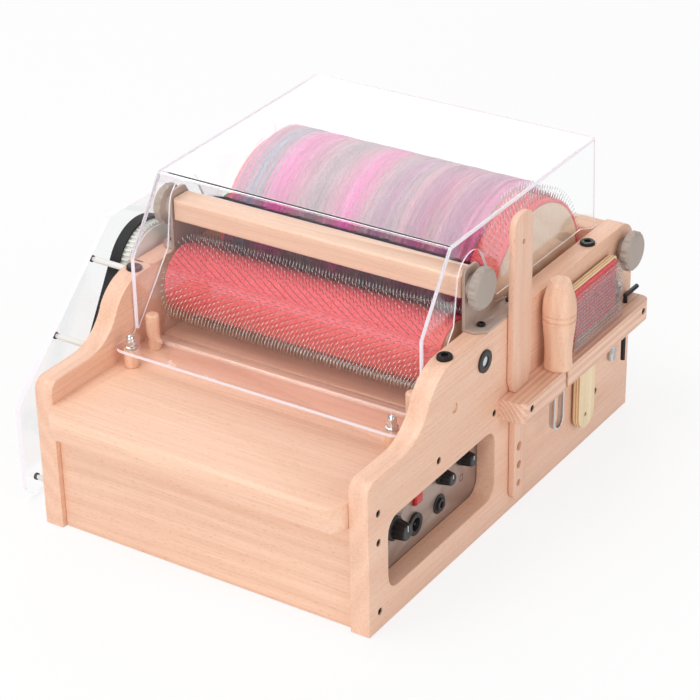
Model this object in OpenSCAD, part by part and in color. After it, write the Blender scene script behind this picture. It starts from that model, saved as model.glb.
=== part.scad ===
// Electric drum carder with licker-in, drum, packer brush, clear guard, belt drive and tool rack.
// X runs across the machine, -Y is the infeed side and Z is up. The floor is z = 0.

/* [Cabinet] */
// distance between the inner faces of the side panels
inner_w = 321; // [315:1:326]
// thickness of the side panels
panel_t = 20; // [18:1:22]
// depth of the side panels, front to back
panel_d = 485; // [482:1:490]
// height of the axles and of the split under the top bars
axle_z = 184.5; // [184:0.5:186]
// height of the top bars
bar_h = 25; // [24:0.5:25.5]
// height of the infeed tray's top face
tray_top = 133; // [131:0.5:133.5]
// radius of the concave sweep at the front of the side panels
sweep_r = 50; // [46:1:52]

/* [Rollers] */
// licker-in radius over its wire tips
licker_r = 44.5; // [43:0.5:45]
// drum radius over its wire tips
drum_r = 99; // [97:0.5:99.5]
// gap between the wire tips of the two rollers
nip_gap = 1.5; // [0.5:0.5:3]
// gap between the rollers' ends and the side panels
roller_gap = 10.5; // [8.5:0.5:14]
// gap between the drum's wire tips and the rear rail
rail_gap = 4.5; // [4:0.5:6]
// thickness of the fibre batt on the drum
batt_t = 9.5; // [6:0.5:9.5]
// wire points in one row on the drum
drum_points = 22; // [16:1:26]
// wire points in one row on the licker-in
licker_points = 14; // [10:1:16]

/* [Guard] */
// thickness of the clear sheet
guard_t = 3; // [2:0.5:3]
// radius of the sheet's folds
fold_r = 6; // [4:0.5:8]
// height of the hood's front corner
hood_z = 301; // [299:0.5:308]

/* [Packer] */
// depth of the packer bar
packer_d = 25; // [22:0.5:26]
// height of the packer bar
packer_h = 22; // [20:0.5:23]
// travel of the packer in its slots
packer_travel = 8; // [6:0.5:8]
// radius of the star knobs
knob_r = 20; // [19:0.5:21]

/* [Belt drive] */
// pitch of the belt's teeth
belt_pitch = 5; // [5:1:6]
// teeth on the licker-in pulley
licker_teeth = 60; // [56:1:60]
// teeth on the motor pulley
motor_teeth = 15; // [14:1:16]
// teeth on the idler
idler_teeth = 20; // [18:1:20]
// width of the belt
belt_w = 11; // [9:1:12]

/* [Tool rack] */
// thickness of the rack
rack_h = 21; // [18:0.5:22]
// reach of the rack out from the side panel
rack_w = 26.5; // [26:0.5:28]
// length of the stick above the rack
stick_len = 177; // [150:1:190]

/* [Hidden] */
$fn = 64;
beech = [0.87, 0.68, 0.53];
pale_wood = [0.92, 0.80, 0.62];
steel = [0.75, 0.76, 0.78];
black = [0.08, 0.08, 0.09];
taupe = [0.56, 0.52, 0.50];
red_cloth = [0.78, 0.16, 0.22];
clear = [0.80, 0.88, 0.90, 0.4];
fit = 0.05;
gap = 0.3;
half_in = inner_w / 2;
half_out = half_in + panel_t;
front_y = -panel_d / 2;
back_y = panel_d / 2;
bar_top = axle_z + bar_h;

// rear rail and the two axles, set forward from the back of the panels
rail_y = back_y - 42;
rail_d = 24.5;
rail_z = 165;
rail_top = bar_top - 0.8;
drum_y = rail_y - rail_gap - drum_r;
licker_y = drum_y - drum_r - nip_gap - licker_r;
roller_w = inner_w - 2 * roller_gap;

// side panel: a shoulder, a concave sweep up to the split and a straight back
shoulder_z = 155;
sweep_a = 60;
bar_front_y = licker_y - 94.1;
sweep_z = shoulder_z + sweep_r * (1 - cos(sweep_a));
sweep_y = bar_front_y - sweep_r * sin(sweep_a) - (axle_z - sweep_z) / tan(sweep_a);
shoulder_r = min(12, sweep_y - front_y - 1);
bar_r = bar_h / (1 - cos(sweep_a));
window_y = [front_y + 32.5, front_y + 216.5];
window_z = [31, 103.5];
window_r = 15;
plate_y = [window_y[0] - 4, window_y[1] + 6];
plate_z = [window_z[0] - 11, window_z[1] + 2.3];
plate_t = 2;

// boards
front_panel_y = front_y + 5.5;
board_t = 18;
front_panel_h = 107;
base_t = 12;
base_back = back_y - 79.5;
rear_panel_t = 20;
rear_panel_h = 92;
tray_front = front_y - 20;
licker_tray_y = [licker_y - 25, licker_y + 34];
tray_back = licker_tray_y[0] - 3;
tray_corner_r = 20;
tray_edge_r = 8;
licker_tray_top = tray_top - 2;

// rollers
wire_len = 11;
cloth_t = 3;
licker_base = licker_r - wire_len - 0.5;
drum_base = drum_r - wire_len;
licker_core = licker_base - cloth_t;
drum_core = drum_base - cloth_t - 0.5;
shell_t = 12;
end_t = 18;
batt_ends = [roller_w / 2 - 5, roller_w / 2 - 28];
licker_rows = 16;
wire_w = 2.4;
shaft_r = 5;
bush_r = 9;
flange_r = 11;
flange_t = 2;

// posts, dowels and studs
stud_r = 3;
post_r = 6.75;
dowel_r = 6.5;
post_x = half_in - 16.5;
post_y = licker_y - 97;
post_h = 17;
dowel_y = licker_y - 61;
dowel_h = 39.5;
rear_stud_y = back_y - 24;
rear_stud_z = axle_z;
plug_r = 4.8;
plug_y = licker_y - 50.7;
plug_z = 161;

// clear guard, as points in [y, z]
lip_z = tray_top + post_h + gap + guard_t;
lip_y = post_y - 11;
wall_y = licker_y - 71;
packer_y = licker_y - 4;
lip_corner_r = 12;
guard_half = half_in - 2;
guard_back = rail_y - 3.5;
hood_line = round_path([[lip_y, lip_z], [wall_y, lip_z], [wall_y, 231], [packer_y - 18, hood_z], [guard_back, hood_z + 4]], fold_r);
hood_inner = shift_path(hood_line, -guard_t);
cheek_z = 219;
arch_c = [packer_y + 18, 258];
arch_r = 24;
cheek_low = [wall_y + guard_t, 156];
cheek_foot = [packer_y - 12, cheek_z];
cheek_back = [rail_y + 1, rail_top + gap];

// packer
packer_z = 242;
packer_half = half_in - 3;
packer_stud_y = packer_y + 12;
packer_stud_z = packer_z + 10;
brush_y = packer_y + packer_d + 2;
brush_z = packer_z + packer_h - 6;
brush_a = -24;
brush_half = packer_half - 9.5;
brush_cols = 40;
brush_w = 7;
strip_in = 4.5;
strip_out = 9;
bristle_r = 1.1;
bristle_row = 1.6;
tip_gap = 0.7;
brush_dy = brush_y - drum_y;
brush_dz = brush_z - axle_z;
brush_b = brush_dy * cos(brush_a) + brush_dz * sin(brush_a);
brush_off = brush_dy * sin(brush_a) - brush_dz * cos(brush_a);
bristle_reach = drum_r + tip_gap;
bristle_len = -brush_b - sqrt(bristle_reach * bristle_reach - pow(abs(brush_off) + bristle_row + bristle_r, 2)) - 0.6;
bracket_x = guard_half + gap;
bracket_t = 3;
bracket_y = [packer_y + 1, packer_y + 77];
bracket_top = packer_z + 29;
bracket_arm = [packer_y + 56, bar_top + 6.5];
bracket_screws = [[packer_y + 16, 9.5], [packer_y + 71, 7.5]];
slot_r = stud_r + gap;
knob_x = bracket_x + bracket_t + gap;
hub_r = 11;
hub_t = 7;
knob_t = 9;
knob_bevel = 2.5;
lobes = 12;

// belt drive on the left, as points in [y, z]
licker_c = [licker_y, axle_z];
drum_c = [drum_y, axle_z];
motor_c = [front_y + 74.5, 52];
idler_c = [drum_y + 68, axle_z + 5];
licker_pitch_r = licker_teeth * belt_pitch / (2 * PI);
motor_pitch_r = motor_teeth * belt_pitch / (2 * PI);
idler_pitch_r = idler_teeth * belt_pitch / (2 * PI);
drum_pitch_r = motor_teeth * belt_pitch / (2 * PI);
belt_c = [licker_c, drum_c, idler_c, motor_c];
belt_s = [licker_pitch_r, -drum_pitch_r, idler_pitch_r, motor_pitch_r];
belt_half_t = 1.2;
tooth_h = 2;
belt_x = half_out + 14.5;
pulley_gap = belt_half_t + gap;
rim_t = 1.7;
rim_in = 8;
motor_r = 36;
motor_len = 96;
motor_plate_t = 4;
motor_hole_r = 12;
axle_r = 4;
guard_plate_x = half_out + 37.5;
guard_plate_t = 5;
guard_plate_r = 14;
guard_plate_pts = [[front_y + 18.5, 4], [motor_c.x + 58, 4], [back_y - 37.5, 140], [back_y - 37.5, 240], [licker_y - 24, 240], [front_y + 18.5, 104]];
standoffs = [[licker_y - 51.5, bar_top - 3.5], [licker_y - 113, shoulder_z - 4], [front_y + 37.5, 18], [back_y - 52.5, 200], [licker_y + 88, 85]];
standoff_r = 3;

// fasteners, as [y, z] on the side panels
panel_screws = [[front_y + 16.5, 120], [front_y + 16.5, 90.5], [front_y + 17.5, 19], [licker_y - 78, 121], [licker_y + 20, 121], [base_back + 9.7, 47]];
screw_head_r = 3.5;
screw_r = 2;
bolt_y = [licker_y - 52, drum_y + 68];
bolt_head_r = 7.25;
bolt_head_h = 4;
bolt_sink = 1;
bolt_len = 34;

// controls, as [y, z] on the plate
speed_c = [window_y[0] + 39, 69];
direction_c = [window_y[0] + 119, 81];
mode_c = [window_y[0] + 156, 82];
button_c = [window_y[0] + 78, 80];
socket_c = [window_y[0] + 74, 54];
jack_c = [window_y[0] + 117, 52];
board_margin = 15;
board_sheet_t = 1.6;
board_z = [40, 98];
button_w = 12;
spindle_r = 3;
board_x = half_in - 18;
pot_r = 8;

// tool rack
rack_top = 132;
rack_y = [back_y - 262.5, back_y - 9.5];
rack_corner_r = 9;
rack_screw_y = [rack_y[0] + 15, rack_y[1] - 14];
rack_screw_z = rack_top - 9.5;
stick_t = 6;
stick_x = half_out + 0.7;
stick_c = rack_y[0] + 29.5;
stick_half = 16.5;
tang_half = 10.7;
stick_holes = [[70, 4.5], [50, 4], [30, 3.5]];
doffer_c = [half_out + 16.5, rack_y[0] + 81.5];
doffer_h = 90;
loop_half = 9.5;
loop_w = 6;
loop_t = 2;
loop_z = 75;
paddle_x = half_out + flange_t + gap;
paddle_t = 7;
paddle_y = [rack_y[0] + 105.5, rack_y[0] + 209.5];
paddle_top = rack_top + 60;
handle_c = (paddle_y[0] + paddle_y[1]) / 2;
handle_half = 15.8;
handle_z = 27;
pad_t = 3;
pad_cols = 7;
pad_rows = 6;
spanner_c = rack_y[1] - 30.8;
spanner_t = 3.5;
spanner_half = 5.5;
spanner_z = 68;
key_c = [half_out + 10.1, rack_y[1] - 22.5];
key_r = 2.5;
key_z = 68;

// arc of n steps about c
function arc(c, r, a0, a1, n) = [for (i = [0:n]) c + r * [cos(a0 + (a1 - a0) * i / n), sin(a0 + (a1 - a0) * i / n)]];

function unit(v) = v / norm(v);

// arc of radius r that rounds the corner b between a and c
function fillet(a, b, c, r, n) =
    let (u = unit(a - b), v = unit(c - b), half = acos(u * v) / 2, d = r / tan(half))
    let (o = b + unit(u + v) * (r / sin(half)), p = b + u * d, q = b + v * d)
    let (a0 = atan2(p.y - o.y, p.x - o.x), raw = atan2(q.y - o.y, q.x - o.x) - a0)
    let (sweep = raw > 180 ? raw - 360 : raw < -180 ? raw + 360 : raw)
    arc(o, r, a0, a0 + sweep, n);

// open path with its inner corners rounded
function round_path(p, r) = [
    for (i = [0:len(p) - 1])
        each (i == 0 || i == len(p) - 1) ? [p[i]] : fillet(p[i - 1], p[i], p[i + 1], r, 5)
];

// closed outline with one radius for each corner
function round_loop(p, r) = [
    for (i = [0:len(p) - 1])
        each r[i] == 0 ? [p[i]] : fillet(p[(i + len(p) - 1) % len(p)], p[i], p[(i + 1) % len(p)], r[i], 5)
];

function left_of(v) = [-v.y, v.x] / norm(v);

// path moved sideways by d, to the left when d is positive, with mitred corners
function shift_path(p, d) = [
    for (i = [0:len(p) - 1])
        let (m = left_of(p[min(i + 1, len(p) - 1)] - p[min(i, len(p) - 2)]))
        let (k = left_of(p[max(i, 1)] - p[max(i - 1, 0)]))
        p[i] + d * (m + k) / (1 + m * k)
];

function back_to_front(p) = [for (i = [len(p) - 1:-1:0]) p[i]];

// outline in [y, z] swept along X from x0
module across(x0, t) translate([x0, 0, 0]) rotate([90, 0, 90]) linear_extrude(t) children();

module rod_x(x0, x1, r, y, z) translate([x0, y, z]) rotate([0, 90, 0]) cylinder(h = x1 - x0, r = r);

module ring_x(x0, x1, r, bore, y, z) difference() {
    rod_x(x0, x1, r, y, z);
    rod_x(x0 - 1, x1 + 1, bore, y, z);
}

module both_sides() {
    children();
    mirror([1, 0, 0]) children();
}

// board between the side panels
module board(y0, y1, z0, z1) translate([-half_in, y0, z0]) cube([inner_w, y1 - y0, z1 - z0]);

// shank holes that the side screws need in what stands between the panels
module screw_shanks() both_sides() for (p = panel_screws) rod_x(half_in - 14, half_out, screw_r + fit, p.x, p.y);

panel_outline = concat(
    [[front_y, 0]],
    arc([front_y + shoulder_r, shoulder_z - shoulder_r], shoulder_r, 180, 90, 6),
    arc([sweep_y, shoulder_z + sweep_r], sweep_r, -90, -90 + sweep_a, 12),
    [[bar_front_y, axle_z], [back_y, axle_z], [back_y, 0]]
);
bar_outline = concat(
    arc([bar_front_y + bar_r * sin(sweep_a), axle_z - bar_r * cos(sweep_a)], bar_r, 90 + sweep_a, 90, 10),
    arc([back_y - bar_h, axle_z], bar_h, 90, 0, 12)
);

// what is bored through a panel and its top bar: seats, bolts, screws and the plug
module side_bores() {
    for (y = [licker_y, drum_y]) rod_x(half_in - 1, half_out + 1, bush_r + fit, y, axle_z);
    for (y = bolt_y) translate([half_in + panel_t / 2, y, bar_top - bolt_len - bolt_sink - 1]) cylinder(h = bolt_len + 2, r = stud_r + fit);
    for (y = bolt_y) translate([half_in + panel_t / 2, y, bar_top - bolt_sink]) cylinder(h = bolt_sink + 1, r = bolt_head_r + gap);
    for (p = panel_screws) rod_x(half_in - 1, half_out, screw_r + fit, p.x, p.y);
    for (p = panel_screws) rod_x(half_out - 5, half_out + 1, screw_head_r + fit, p.x, p.y);
    rod_x(half_out - 6, half_out + 1, plug_r, plug_y, plug_z);
    rod_x(half_in - 1, half_out + 1, stud_r + fit, rear_stud_y, rear_stud_z);
    for (s = bracket_screws) translate([half_in + s.y, s.x, bar_top - 16.5]) cylinder(h = 17, r = screw_r + fit);
}

module left_side_panel() color(beech) mirror([1, 0, 0]) difference() {
    across(half_in, panel_t) polygon(panel_outline);
    side_bores();
    rod_x(half_in - 1, half_out + 1, motor_hole_r, motor_c.x, motor_c.y);
}

module right_side_panel() color(beech) difference() {
    across(half_in, panel_t) polygon(panel_outline);
    side_bores();
    across(half_in - 1, panel_t + 2) polygon(round_loop(
        [[window_y[0], window_z[0]], [window_y[1], window_z[0]], [window_y[1], window_z[1]], [window_y[0], window_z[1]]],
        [window_r, window_r, window_r, window_r]));
    for (y = rack_screw_y) rod_x(half_out - 12.3, half_out + 1, screw_r + fit, y, rack_screw_z);
}

module top_bar() difference() {
    across(half_in, panel_t) polygon(bar_outline);
    side_bores();
}

module left_top_bar() color(beech) mirror([1, 0, 0]) top_bar();

module right_top_bar() color(beech) top_bar();

module front_panel() color(beech) difference() {
    board(front_panel_y, front_panel_y + board_t, 0, front_panel_h);
    screw_shanks();
}

module base_board() color(beech) board(front_panel_y + board_t, base_back, 0, base_t);

module rear_panel() color(beech) difference() {
    board(base_back, base_back + rear_panel_t, 0, rear_panel_h);
    screw_shanks();
}

module rear_rail() color(beech) difference() {
    across(-half_in, inner_w) polygon(round_loop(
        [[rail_y, rail_z], [rail_y + rail_d, rail_z], [rail_y + rail_d, rail_top], [rail_y, rail_top]], [3, 3, 5, 3]));
    both_sides() rod_x(half_in - 10.5, half_in + 1, stud_r + fit, rear_stud_y, rear_stud_z);
}

// tray with a rounded nose and round front corners, bored for the post studs
module infeed_tray() color(beech) difference() {
    intersection() {
        across(-half_in, inner_w) polygon(round_loop(
            [[tray_front, front_panel_h], [tray_back, front_panel_h], [tray_back, tray_top], [tray_front, tray_top]],
            [tray_edge_r, 3, 3, tray_edge_r]));
        translate([0, 0, front_panel_h - 1]) linear_extrude(tray_top) polygon(round_loop(
            [[-half_in, tray_front], [half_in, tray_front], [half_in, tray_back], [-half_in, tray_back]],
            [tray_corner_r, tray_corner_r, 0, 0]));
    }
    both_sides() translate([post_x, post_y, tray_top - 18.2]) cylinder(h = 20, r = stud_r + fit);
    screw_shanks();
}

module licker_tray() color(beech) difference() {
    board(licker_tray_y[0], licker_tray_y[1], front_panel_h, licker_tray_top);
    screw_shanks();
}

// two bored posts under the guard's lip, two round-topped guide dowels and the plugs in the panels
module wooden_pegs() color(pale_wood) both_sides() {
    translate([post_x, post_y, tray_top]) difference() {
        cylinder(h = post_h, r = post_r);
        translate([0, 0, -1]) cylinder(h = post_h + 2, r = stud_r + fit);
    }
    translate([post_x, dowel_y, tray_top]) rotate_extrude() polygon(concat(
        [[0, 0], [dowel_r, 0]], arc([dowel_r - 2.5, dowel_h - 2.5], 2.5, 0, 90, 5), [[0, dowel_h]]));
    rod_x(half_out - 6, half_out - 1, plug_r, plug_y, plug_z);
}

module clamp_studs() color(steel) both_sides() {
    translate([post_x, post_y, tray_top - 18]) cylinder(h = lip_z + 8.7 - tray_top + 18, r = stud_r);
    rod_x(half_in - 10.3, half_out + 11, stud_r, rear_stud_y, rear_stud_z);
}

// flanged bushes clamped between the panels and the top bars
module axle_bearings() color(black) both_sides() for (y = [licker_y, drum_y]) difference() {
    union() {
        rod_x(half_in, half_out, bush_r, y, axle_z);
        rod_x(half_out, half_out + flange_t, flange_r, y, axle_z);
    }
    rod_x(half_in - 1, half_out + flange_t + 1, shaft_r + fit, y, axle_z);
}

// cap bolt with a hex socket, its head's underside at the origin
module cap_bolt(head_r, head_h, r, len) difference() {
    union() {
        translate([0, 0, -len]) cylinder(h = len, r = r);
        rotate_extrude() polygon([[0, 0], [head_r, 0], [head_r, head_h - 0.8], [head_r - 0.8, head_h], [0, head_h]]);
    }
    translate([0, 0, head_h - 2]) cylinder(h = 3, r = head_r * 0.5, $fn = 6);
}

module bar_bolts() color(black) both_sides() {
    for (y = bolt_y) translate([half_in + panel_t / 2, y, bar_top - bolt_sink]) cap_bolt(bolt_head_r, bolt_head_h, stud_r, bolt_len);
    for (s = bracket_screws) translate([half_in + s.y, s.x, bar_top + bracket_t]) cap_bolt(4, 2.4, screw_r, 18);
}

// sunk socket screws along X, head outwards
module side_screw(y, z, x0, x1) difference() {
    union() {
        rod_x(x0, x1 - 4, screw_r, y, z);
        rod_x(x1 - 4, x1, screw_head_r, y, z);
    }
    translate([x1 - 2, y, z]) rotate([0, 90, 0]) cylinder(h = 3, r = 1.7, $fn = 6);
}

module side_screws() color(black) {
    both_sides() for (p = panel_screws) side_screw(p.x, p.y, half_in - 13.8, half_out - 1);
    for (y = rack_screw_y) side_screw(y, rack_screw_z, half_out - 12, half_out + rack_w - 1);
}

// angle bracket with a slot for the packer's stud
module bracket() difference() {
    union() {
        across(bracket_x, bracket_t) polygon(round_loop(
            [[bracket_y[0], bar_top], [bracket_y[1], bar_top], [bracket_y[1], bar_top + bracket_t], bracket_arm,
                [packer_y + 23, bracket_top], [bracket_y[0], bracket_top]],
            [0, 0, 0, 8, 5, 5]));
        translate([0, 0, bar_top]) linear_extrude(bracket_t) polygon(
            [[bracket_x, bracket_y[0]], [half_out - 9, bracket_y[0]], [half_out, bracket_y[0] + 9],
                [half_out, bracket_y[1] - 4], [half_out - 4, bracket_y[1]], [bracket_x, bracket_y[1]]]);
    }
    for (dz = [0, packer_travel]) rod_x(bracket_x - 1, bracket_x + bracket_t + 1, slot_r, packer_stud_y, packer_stud_z + dz);
    translate([bracket_x - 1, packer_stud_y - slot_r, packer_stud_z]) cube([bracket_t + 2, 2 * slot_r, packer_travel]);
    for (s = bracket_screws) translate([half_in + s.y, s.x, bar_top - 1]) cylinder(h = bracket_t + 2, r = screw_r + fit);
}

module left_bracket() color(taupe) mirror([1, 0, 0]) bracket();

module right_bracket() color(taupe) bracket();

// angle of the straight run that leaves pulley i of the belt's loop
function run_a(i) =
    let (a = belt_c[i], b = belt_c[(i + 1) % 4], s0 = belt_s[i], s1 = belt_s[(i + 1) % 4])
    atan2(b.y - a.y, b.x - a.x) - asin((s0 - s1) / norm(b - a));

// turn on pulley i, against the clock on the drum pulley and with it on the others
function turn_a(i) =
    let (d = run_a(i) - run_a((i + 3) % 4))
    belt_s[i] < 0 ? (d + 720) % 360 : -((720 - d) % 360);

function belt_line(d, n) = [
    for (i = [0:3]) for (k = [0:n])
        let (a = run_a((i + 3) % 4) + turn_a(i) * k / n + 90)
        belt_c[i] + (belt_s[i] + d) * [cos(a), sin(a)]
];

function run_len(i) = let (d = belt_c[(i + 1) % 4] - belt_c[i], s = belt_s[i] - belt_s[(i + 1) % 4]) sqrt(d * d - s * s);

// stretch beside pulley i that stays without teeth, so that they clear the pulley
function run_margin(i) = sqrt(4 * abs(belt_s[i])) + 3.5;

// teeth along the run that leaves pulley i
function run_teeth(i) =
    let (a = run_a(i), u = [cos(a), sin(a)], v = [-sin(a), cos(a)], m = run_margin(i))
    let (last = floor((run_len(i) - m - run_margin((i + 1) % 4)) / belt_pitch))
    [for (k = [0:last]) for (q = [[-1.4, 0], [-0.8, -tooth_h], [0.8, -tooth_h], [1.4, 0]])
        belt_c[i] + u * (m + k * belt_pitch + q.x) + v * (belt_s[i] - belt_half_t + q.y)];

// inside of the belt: plain round the pulleys, toothed along the runs
function belt_inside(n) = [
    for (i = [0:3]) each concat(
        [for (k = [0:n])
            let (a = run_a((i + 3) % 4) + turn_a(i) * k / n + 90)
            belt_c[i] + (belt_s[i] - belt_half_t) * [cos(a), sin(a)]],
        run_teeth(i))
];

module drive_belt() color(black) mirror([1, 0, 0]) across(belt_x, belt_w) difference() {
    polygon(belt_line(belt_half_t, 16));
    polygon(belt_inside(16));
}

// outline of a toothed rim
function rim(n, r) = [
    for (i = [0:n - 1]) each [
        (r - tooth_h) * [cos(360 * (i - 0.28) / n), sin(360 * (i - 0.28) / n)],
        r * [cos(360 * (i - 0.17) / n), sin(360 * (i - 0.17) / n)],
        r * [cos(360 * (i + 0.17) / n), sin(360 * (i + 0.17) / n)],
        (r - tooth_h) * [cos(360 * (i + 0.28) / n), sin(360 * (i + 0.28) / n)]
    ]
];

module toothed_pulley(n, pitch_r, c, bore, inner = 0) difference() {
    translate([0, c.x, c.y]) across(belt_x - inner, belt_w + inner) polygon(rim(n, pitch_r - pulley_gap));
    rod_x(belt_x - inner - 1, belt_x + belt_w + 1, bore, c.x, c.y);
}

module licker_pulley() color([0.93, 0.93, 0.90]) mirror([1, 0, 0]) difference() {
    union() {
        toothed_pulley(licker_teeth, licker_pitch_r, licker_c, shaft_r, rim_in);
        ring_x(belt_x - rim_in - 2, belt_x - rim_in, licker_pitch_r - 5, shaft_r, licker_c.x, licker_c.y);
        ring_x(belt_x + belt_w, belt_x + belt_w + 2, hub_r, shaft_r, licker_c.x, licker_c.y);
    }
    ring_x(belt_x + 6, belt_x + belt_w + 1, licker_pitch_r - 9, hub_r, licker_c.x, licker_c.y);
}

// flat pulley that runs on the belt's back
module drum_pulley() color(steel) mirror([1, 0, 0]) {
    ring_x(belt_x - rim_t - gap, belt_x - gap, drum_pitch_r + 3, shaft_r, drum_c.x, drum_c.y);
    ring_x(belt_x - gap, belt_x + belt_w + gap, drum_pitch_r - pulley_gap, shaft_r, drum_c.x, drum_c.y);
    ring_x(belt_x + belt_w + gap, belt_x + belt_w + gap + rim_t, drum_pitch_r + 3, shaft_r, drum_c.x, drum_c.y);
}

module motor_pulley() color(steel) mirror([1, 0, 0]) {
    toothed_pulley(motor_teeth, motor_pitch_r, motor_c, axle_r);
    rod_x(half_in - 10, belt_x + belt_w + 2, axle_r, motor_c.x, motor_c.y);
}

module idler_pulley() color(steel) mirror([1, 0, 0]) toothed_pulley(idler_teeth, idler_pitch_r, idler_c, axle_r + fit);

// arm on the left top bar with a shouldered pin and a retaining cap
module idler_axle() color(black) mirror([1, 0, 0]) {
    across(half_out, 4) polygon(round_loop(
        [[idler_c.x - 15, idler_c.y - 13], [idler_c.x + 15, idler_c.y - 13], [idler_c.x + 15, idler_c.y + 13], [idler_c.x - 15, idler_c.y + 13]],
        [4, 4, 12, 12]));
    rod_x(half_out + 4, belt_x - gap, axle_r + 3, idler_c.x, idler_c.y);
    rod_x(belt_x - gap, belt_x + belt_w + gap, axle_r, idler_c.x, idler_c.y);
    rod_x(belt_x + belt_w + gap, belt_x + belt_w + 2, axle_r + 3, idler_c.x, idler_c.y);
}

module motor() color([0.25, 0.25, 0.27]) mirror([1, 0, 0]) difference() {
    union() {
        across(half_in - motor_plate_t, motor_plate_t) polygon(round_loop(
            [[motor_c.x - 38, motor_c.y - 38], [motor_c.x + 38, motor_c.y - 38], [motor_c.x + 38, motor_c.y + 38], [motor_c.x - 38, motor_c.y + 38]],
            [8, 8, 8, 8]));
        rod_x(half_in - motor_plate_t - motor_len, half_in - motor_plate_t, motor_r, motor_c.x, motor_c.y);
        rod_x(half_in - motor_plate_t - motor_len - 6, half_in - motor_plate_t - motor_len, motor_r - 14, motor_c.x, motor_c.y);
        rod_x(half_in, half_in + 3, motor_hole_r - 1, motor_c.x, motor_c.y);
    }
    rod_x(half_in - 10.3, half_in + 4, axle_r + fit, motor_c.x, motor_c.y);
}

module belt_guard() color(clear) mirror([1, 0, 0]) difference() {
    across(guard_plate_x, guard_plate_t) polygon(round_loop(guard_plate_pts, [for (p = guard_plate_pts) guard_plate_r]));
    for (s = standoffs) rod_x(guard_plate_x - 1, guard_plate_x + guard_plate_t + 1, screw_r + fit, s.x, s.y);
}

module belt_guard_standoffs() color(black) mirror([1, 0, 0]) for (s = standoffs) {
    rod_x(half_out, guard_plate_x, standoff_r, s.x, s.y);
    rod_x(guard_plate_x, guard_plate_x + guard_plate_t, screw_r, s.x, s.y);
    rod_x(guard_plate_x + guard_plate_t, guard_plate_x + guard_plate_t + 2.5, screw_head_r, s.x, s.y);
}

module control_plate() color(taupe) difference() {
    across(half_in - plate_t, plate_t) polygon(round_loop(
        [[plate_y[0], plate_z[0]], [plate_y[1], plate_z[0]], [plate_y[1], plate_z[1]], [plate_y[0], plate_z[1]]], [6, 6, 6, 6]));
    for (c = [speed_c, direction_c, mode_c]) rod_x(half_in - plate_t - 1, half_in + 1, spindle_r + fit, c.x, c.y);
    rod_x(half_in - plate_t - 1, half_in + 1, 8 + fit, socket_c.x, socket_c.y);
    rod_x(half_in - plate_t - 1, half_in + 1, 5 + fit, jack_c.x, jack_c.y);
    translate([half_in - plate_t - 1, button_c.x - button_w / 2 - gap, button_c.y - button_w / 2 - gap])
        cube([plate_t + 2, button_w + 2 * gap, button_w + 2 * gap]);
}

// circuit board with three potentiometers and the switch behind the button
module control_board() color([0.10, 0.32, 0.20]) difference() {
    union() {
        translate([board_x - board_sheet_t, speed_c.x - board_margin, board_z[0]])
            cube([board_sheet_t, mode_c.x - speed_c.x + 2 * board_margin + 1, board_z[1] - board_z[0]]);
        for (c = [speed_c, direction_c, mode_c]) rod_x(board_x, half_in - plate_t, pot_r, c.x, c.y);
        translate([board_x, button_c.x - 8, button_c.y - 8]) cube([10, 16, 16]);
    }
    for (c = [speed_c, direction_c, mode_c]) rod_x(half_in - plate_t - 8.3, half_in, spindle_r + fit, c.x, c.y);
}

// round power socket with its pin, and a pedal jack with its nut
module sockets() color(black) {
    difference() {
        union() {
            rod_x(half_in - 12, half_in, 8, socket_c.x, socket_c.y);
            rod_x(half_in, half_in + 2.5, 11, socket_c.x, socket_c.y);
        }
        rod_x(half_in - 8, half_in + 3, 6.5, socket_c.x, socket_c.y);
    }
    rod_x(half_in - 8, half_in + 1, 1.3, socket_c.x, socket_c.y);
    difference() {
        union() {
            rod_x(half_in - 14, half_in, 5, jack_c.x, jack_c.y);
            rod_x(half_in, half_in + 1, 9.5, jack_c.x, jack_c.y);
            translate([half_in + 1, jack_c.x, jack_c.y]) rotate([0, 90, 0]) cylinder(h = 2.5, r = 6.9, $fn = 6);
        }
        rod_x(half_in - 13, half_in + 4, 3.25, jack_c.x, jack_c.y);
    }
}

module knob_spindle(c) rod_x(half_in - plate_t - 8, half_in + gap + 1, spindle_r, c.x, c.y);

// knob with a skirt, a fluted body and a pointer groove, on its spindle
module pointer_knob(c, skirt_r, body_r, h) {
    knob_spindle(c);
    difference() {
        union() {
            translate([half_in + gap, c.x, c.y]) rotate([0, 90, 0]) rotate_extrude() polygon(
                [[0, 0], [skirt_r, 0], [skirt_r, 2], [body_r + 1.2, 3.2], [body_r - 0.4, h - 1], [body_r - 1.4, h], [0, h]]);
        }
        for (a = [20:32:340]) translate([half_in + gap + 4, c.x, c.y]) rotate([a, 0, 0]) translate([0, 0, body_r + 0.7])
            rotate([0, 90, 0]) cylinder(h = h, r = 1.4, $fn = 24);
        translate([half_in + gap + h - 0.8, c.x - 0.6, c.y]) cube([2, 1.2, body_r + 1]);
    }
}

module speed_knob() color(black) pointer_knob(speed_c, 12, 8.5, 15.5);

module direction_knob() color(black) pointer_knob(direction_c, 8, 6.5, 14);

module mode_knob() color(black) pointer_knob(mode_c, 8, 6.5, 14);

// square push button, its stem in the plate's window
module power_button() color([0.75, 0.10, 0.10]) translate([half_in - 5, button_c.x, button_c.y]) {
    translate([0, -button_w / 2, -button_w / 2]) cube([8, button_w, button_w]);
    translate([8, 0, 0]) rotate([0, 90, 0]) linear_extrude(0.8) square(button_w - 1.6, center = true);
}

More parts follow.
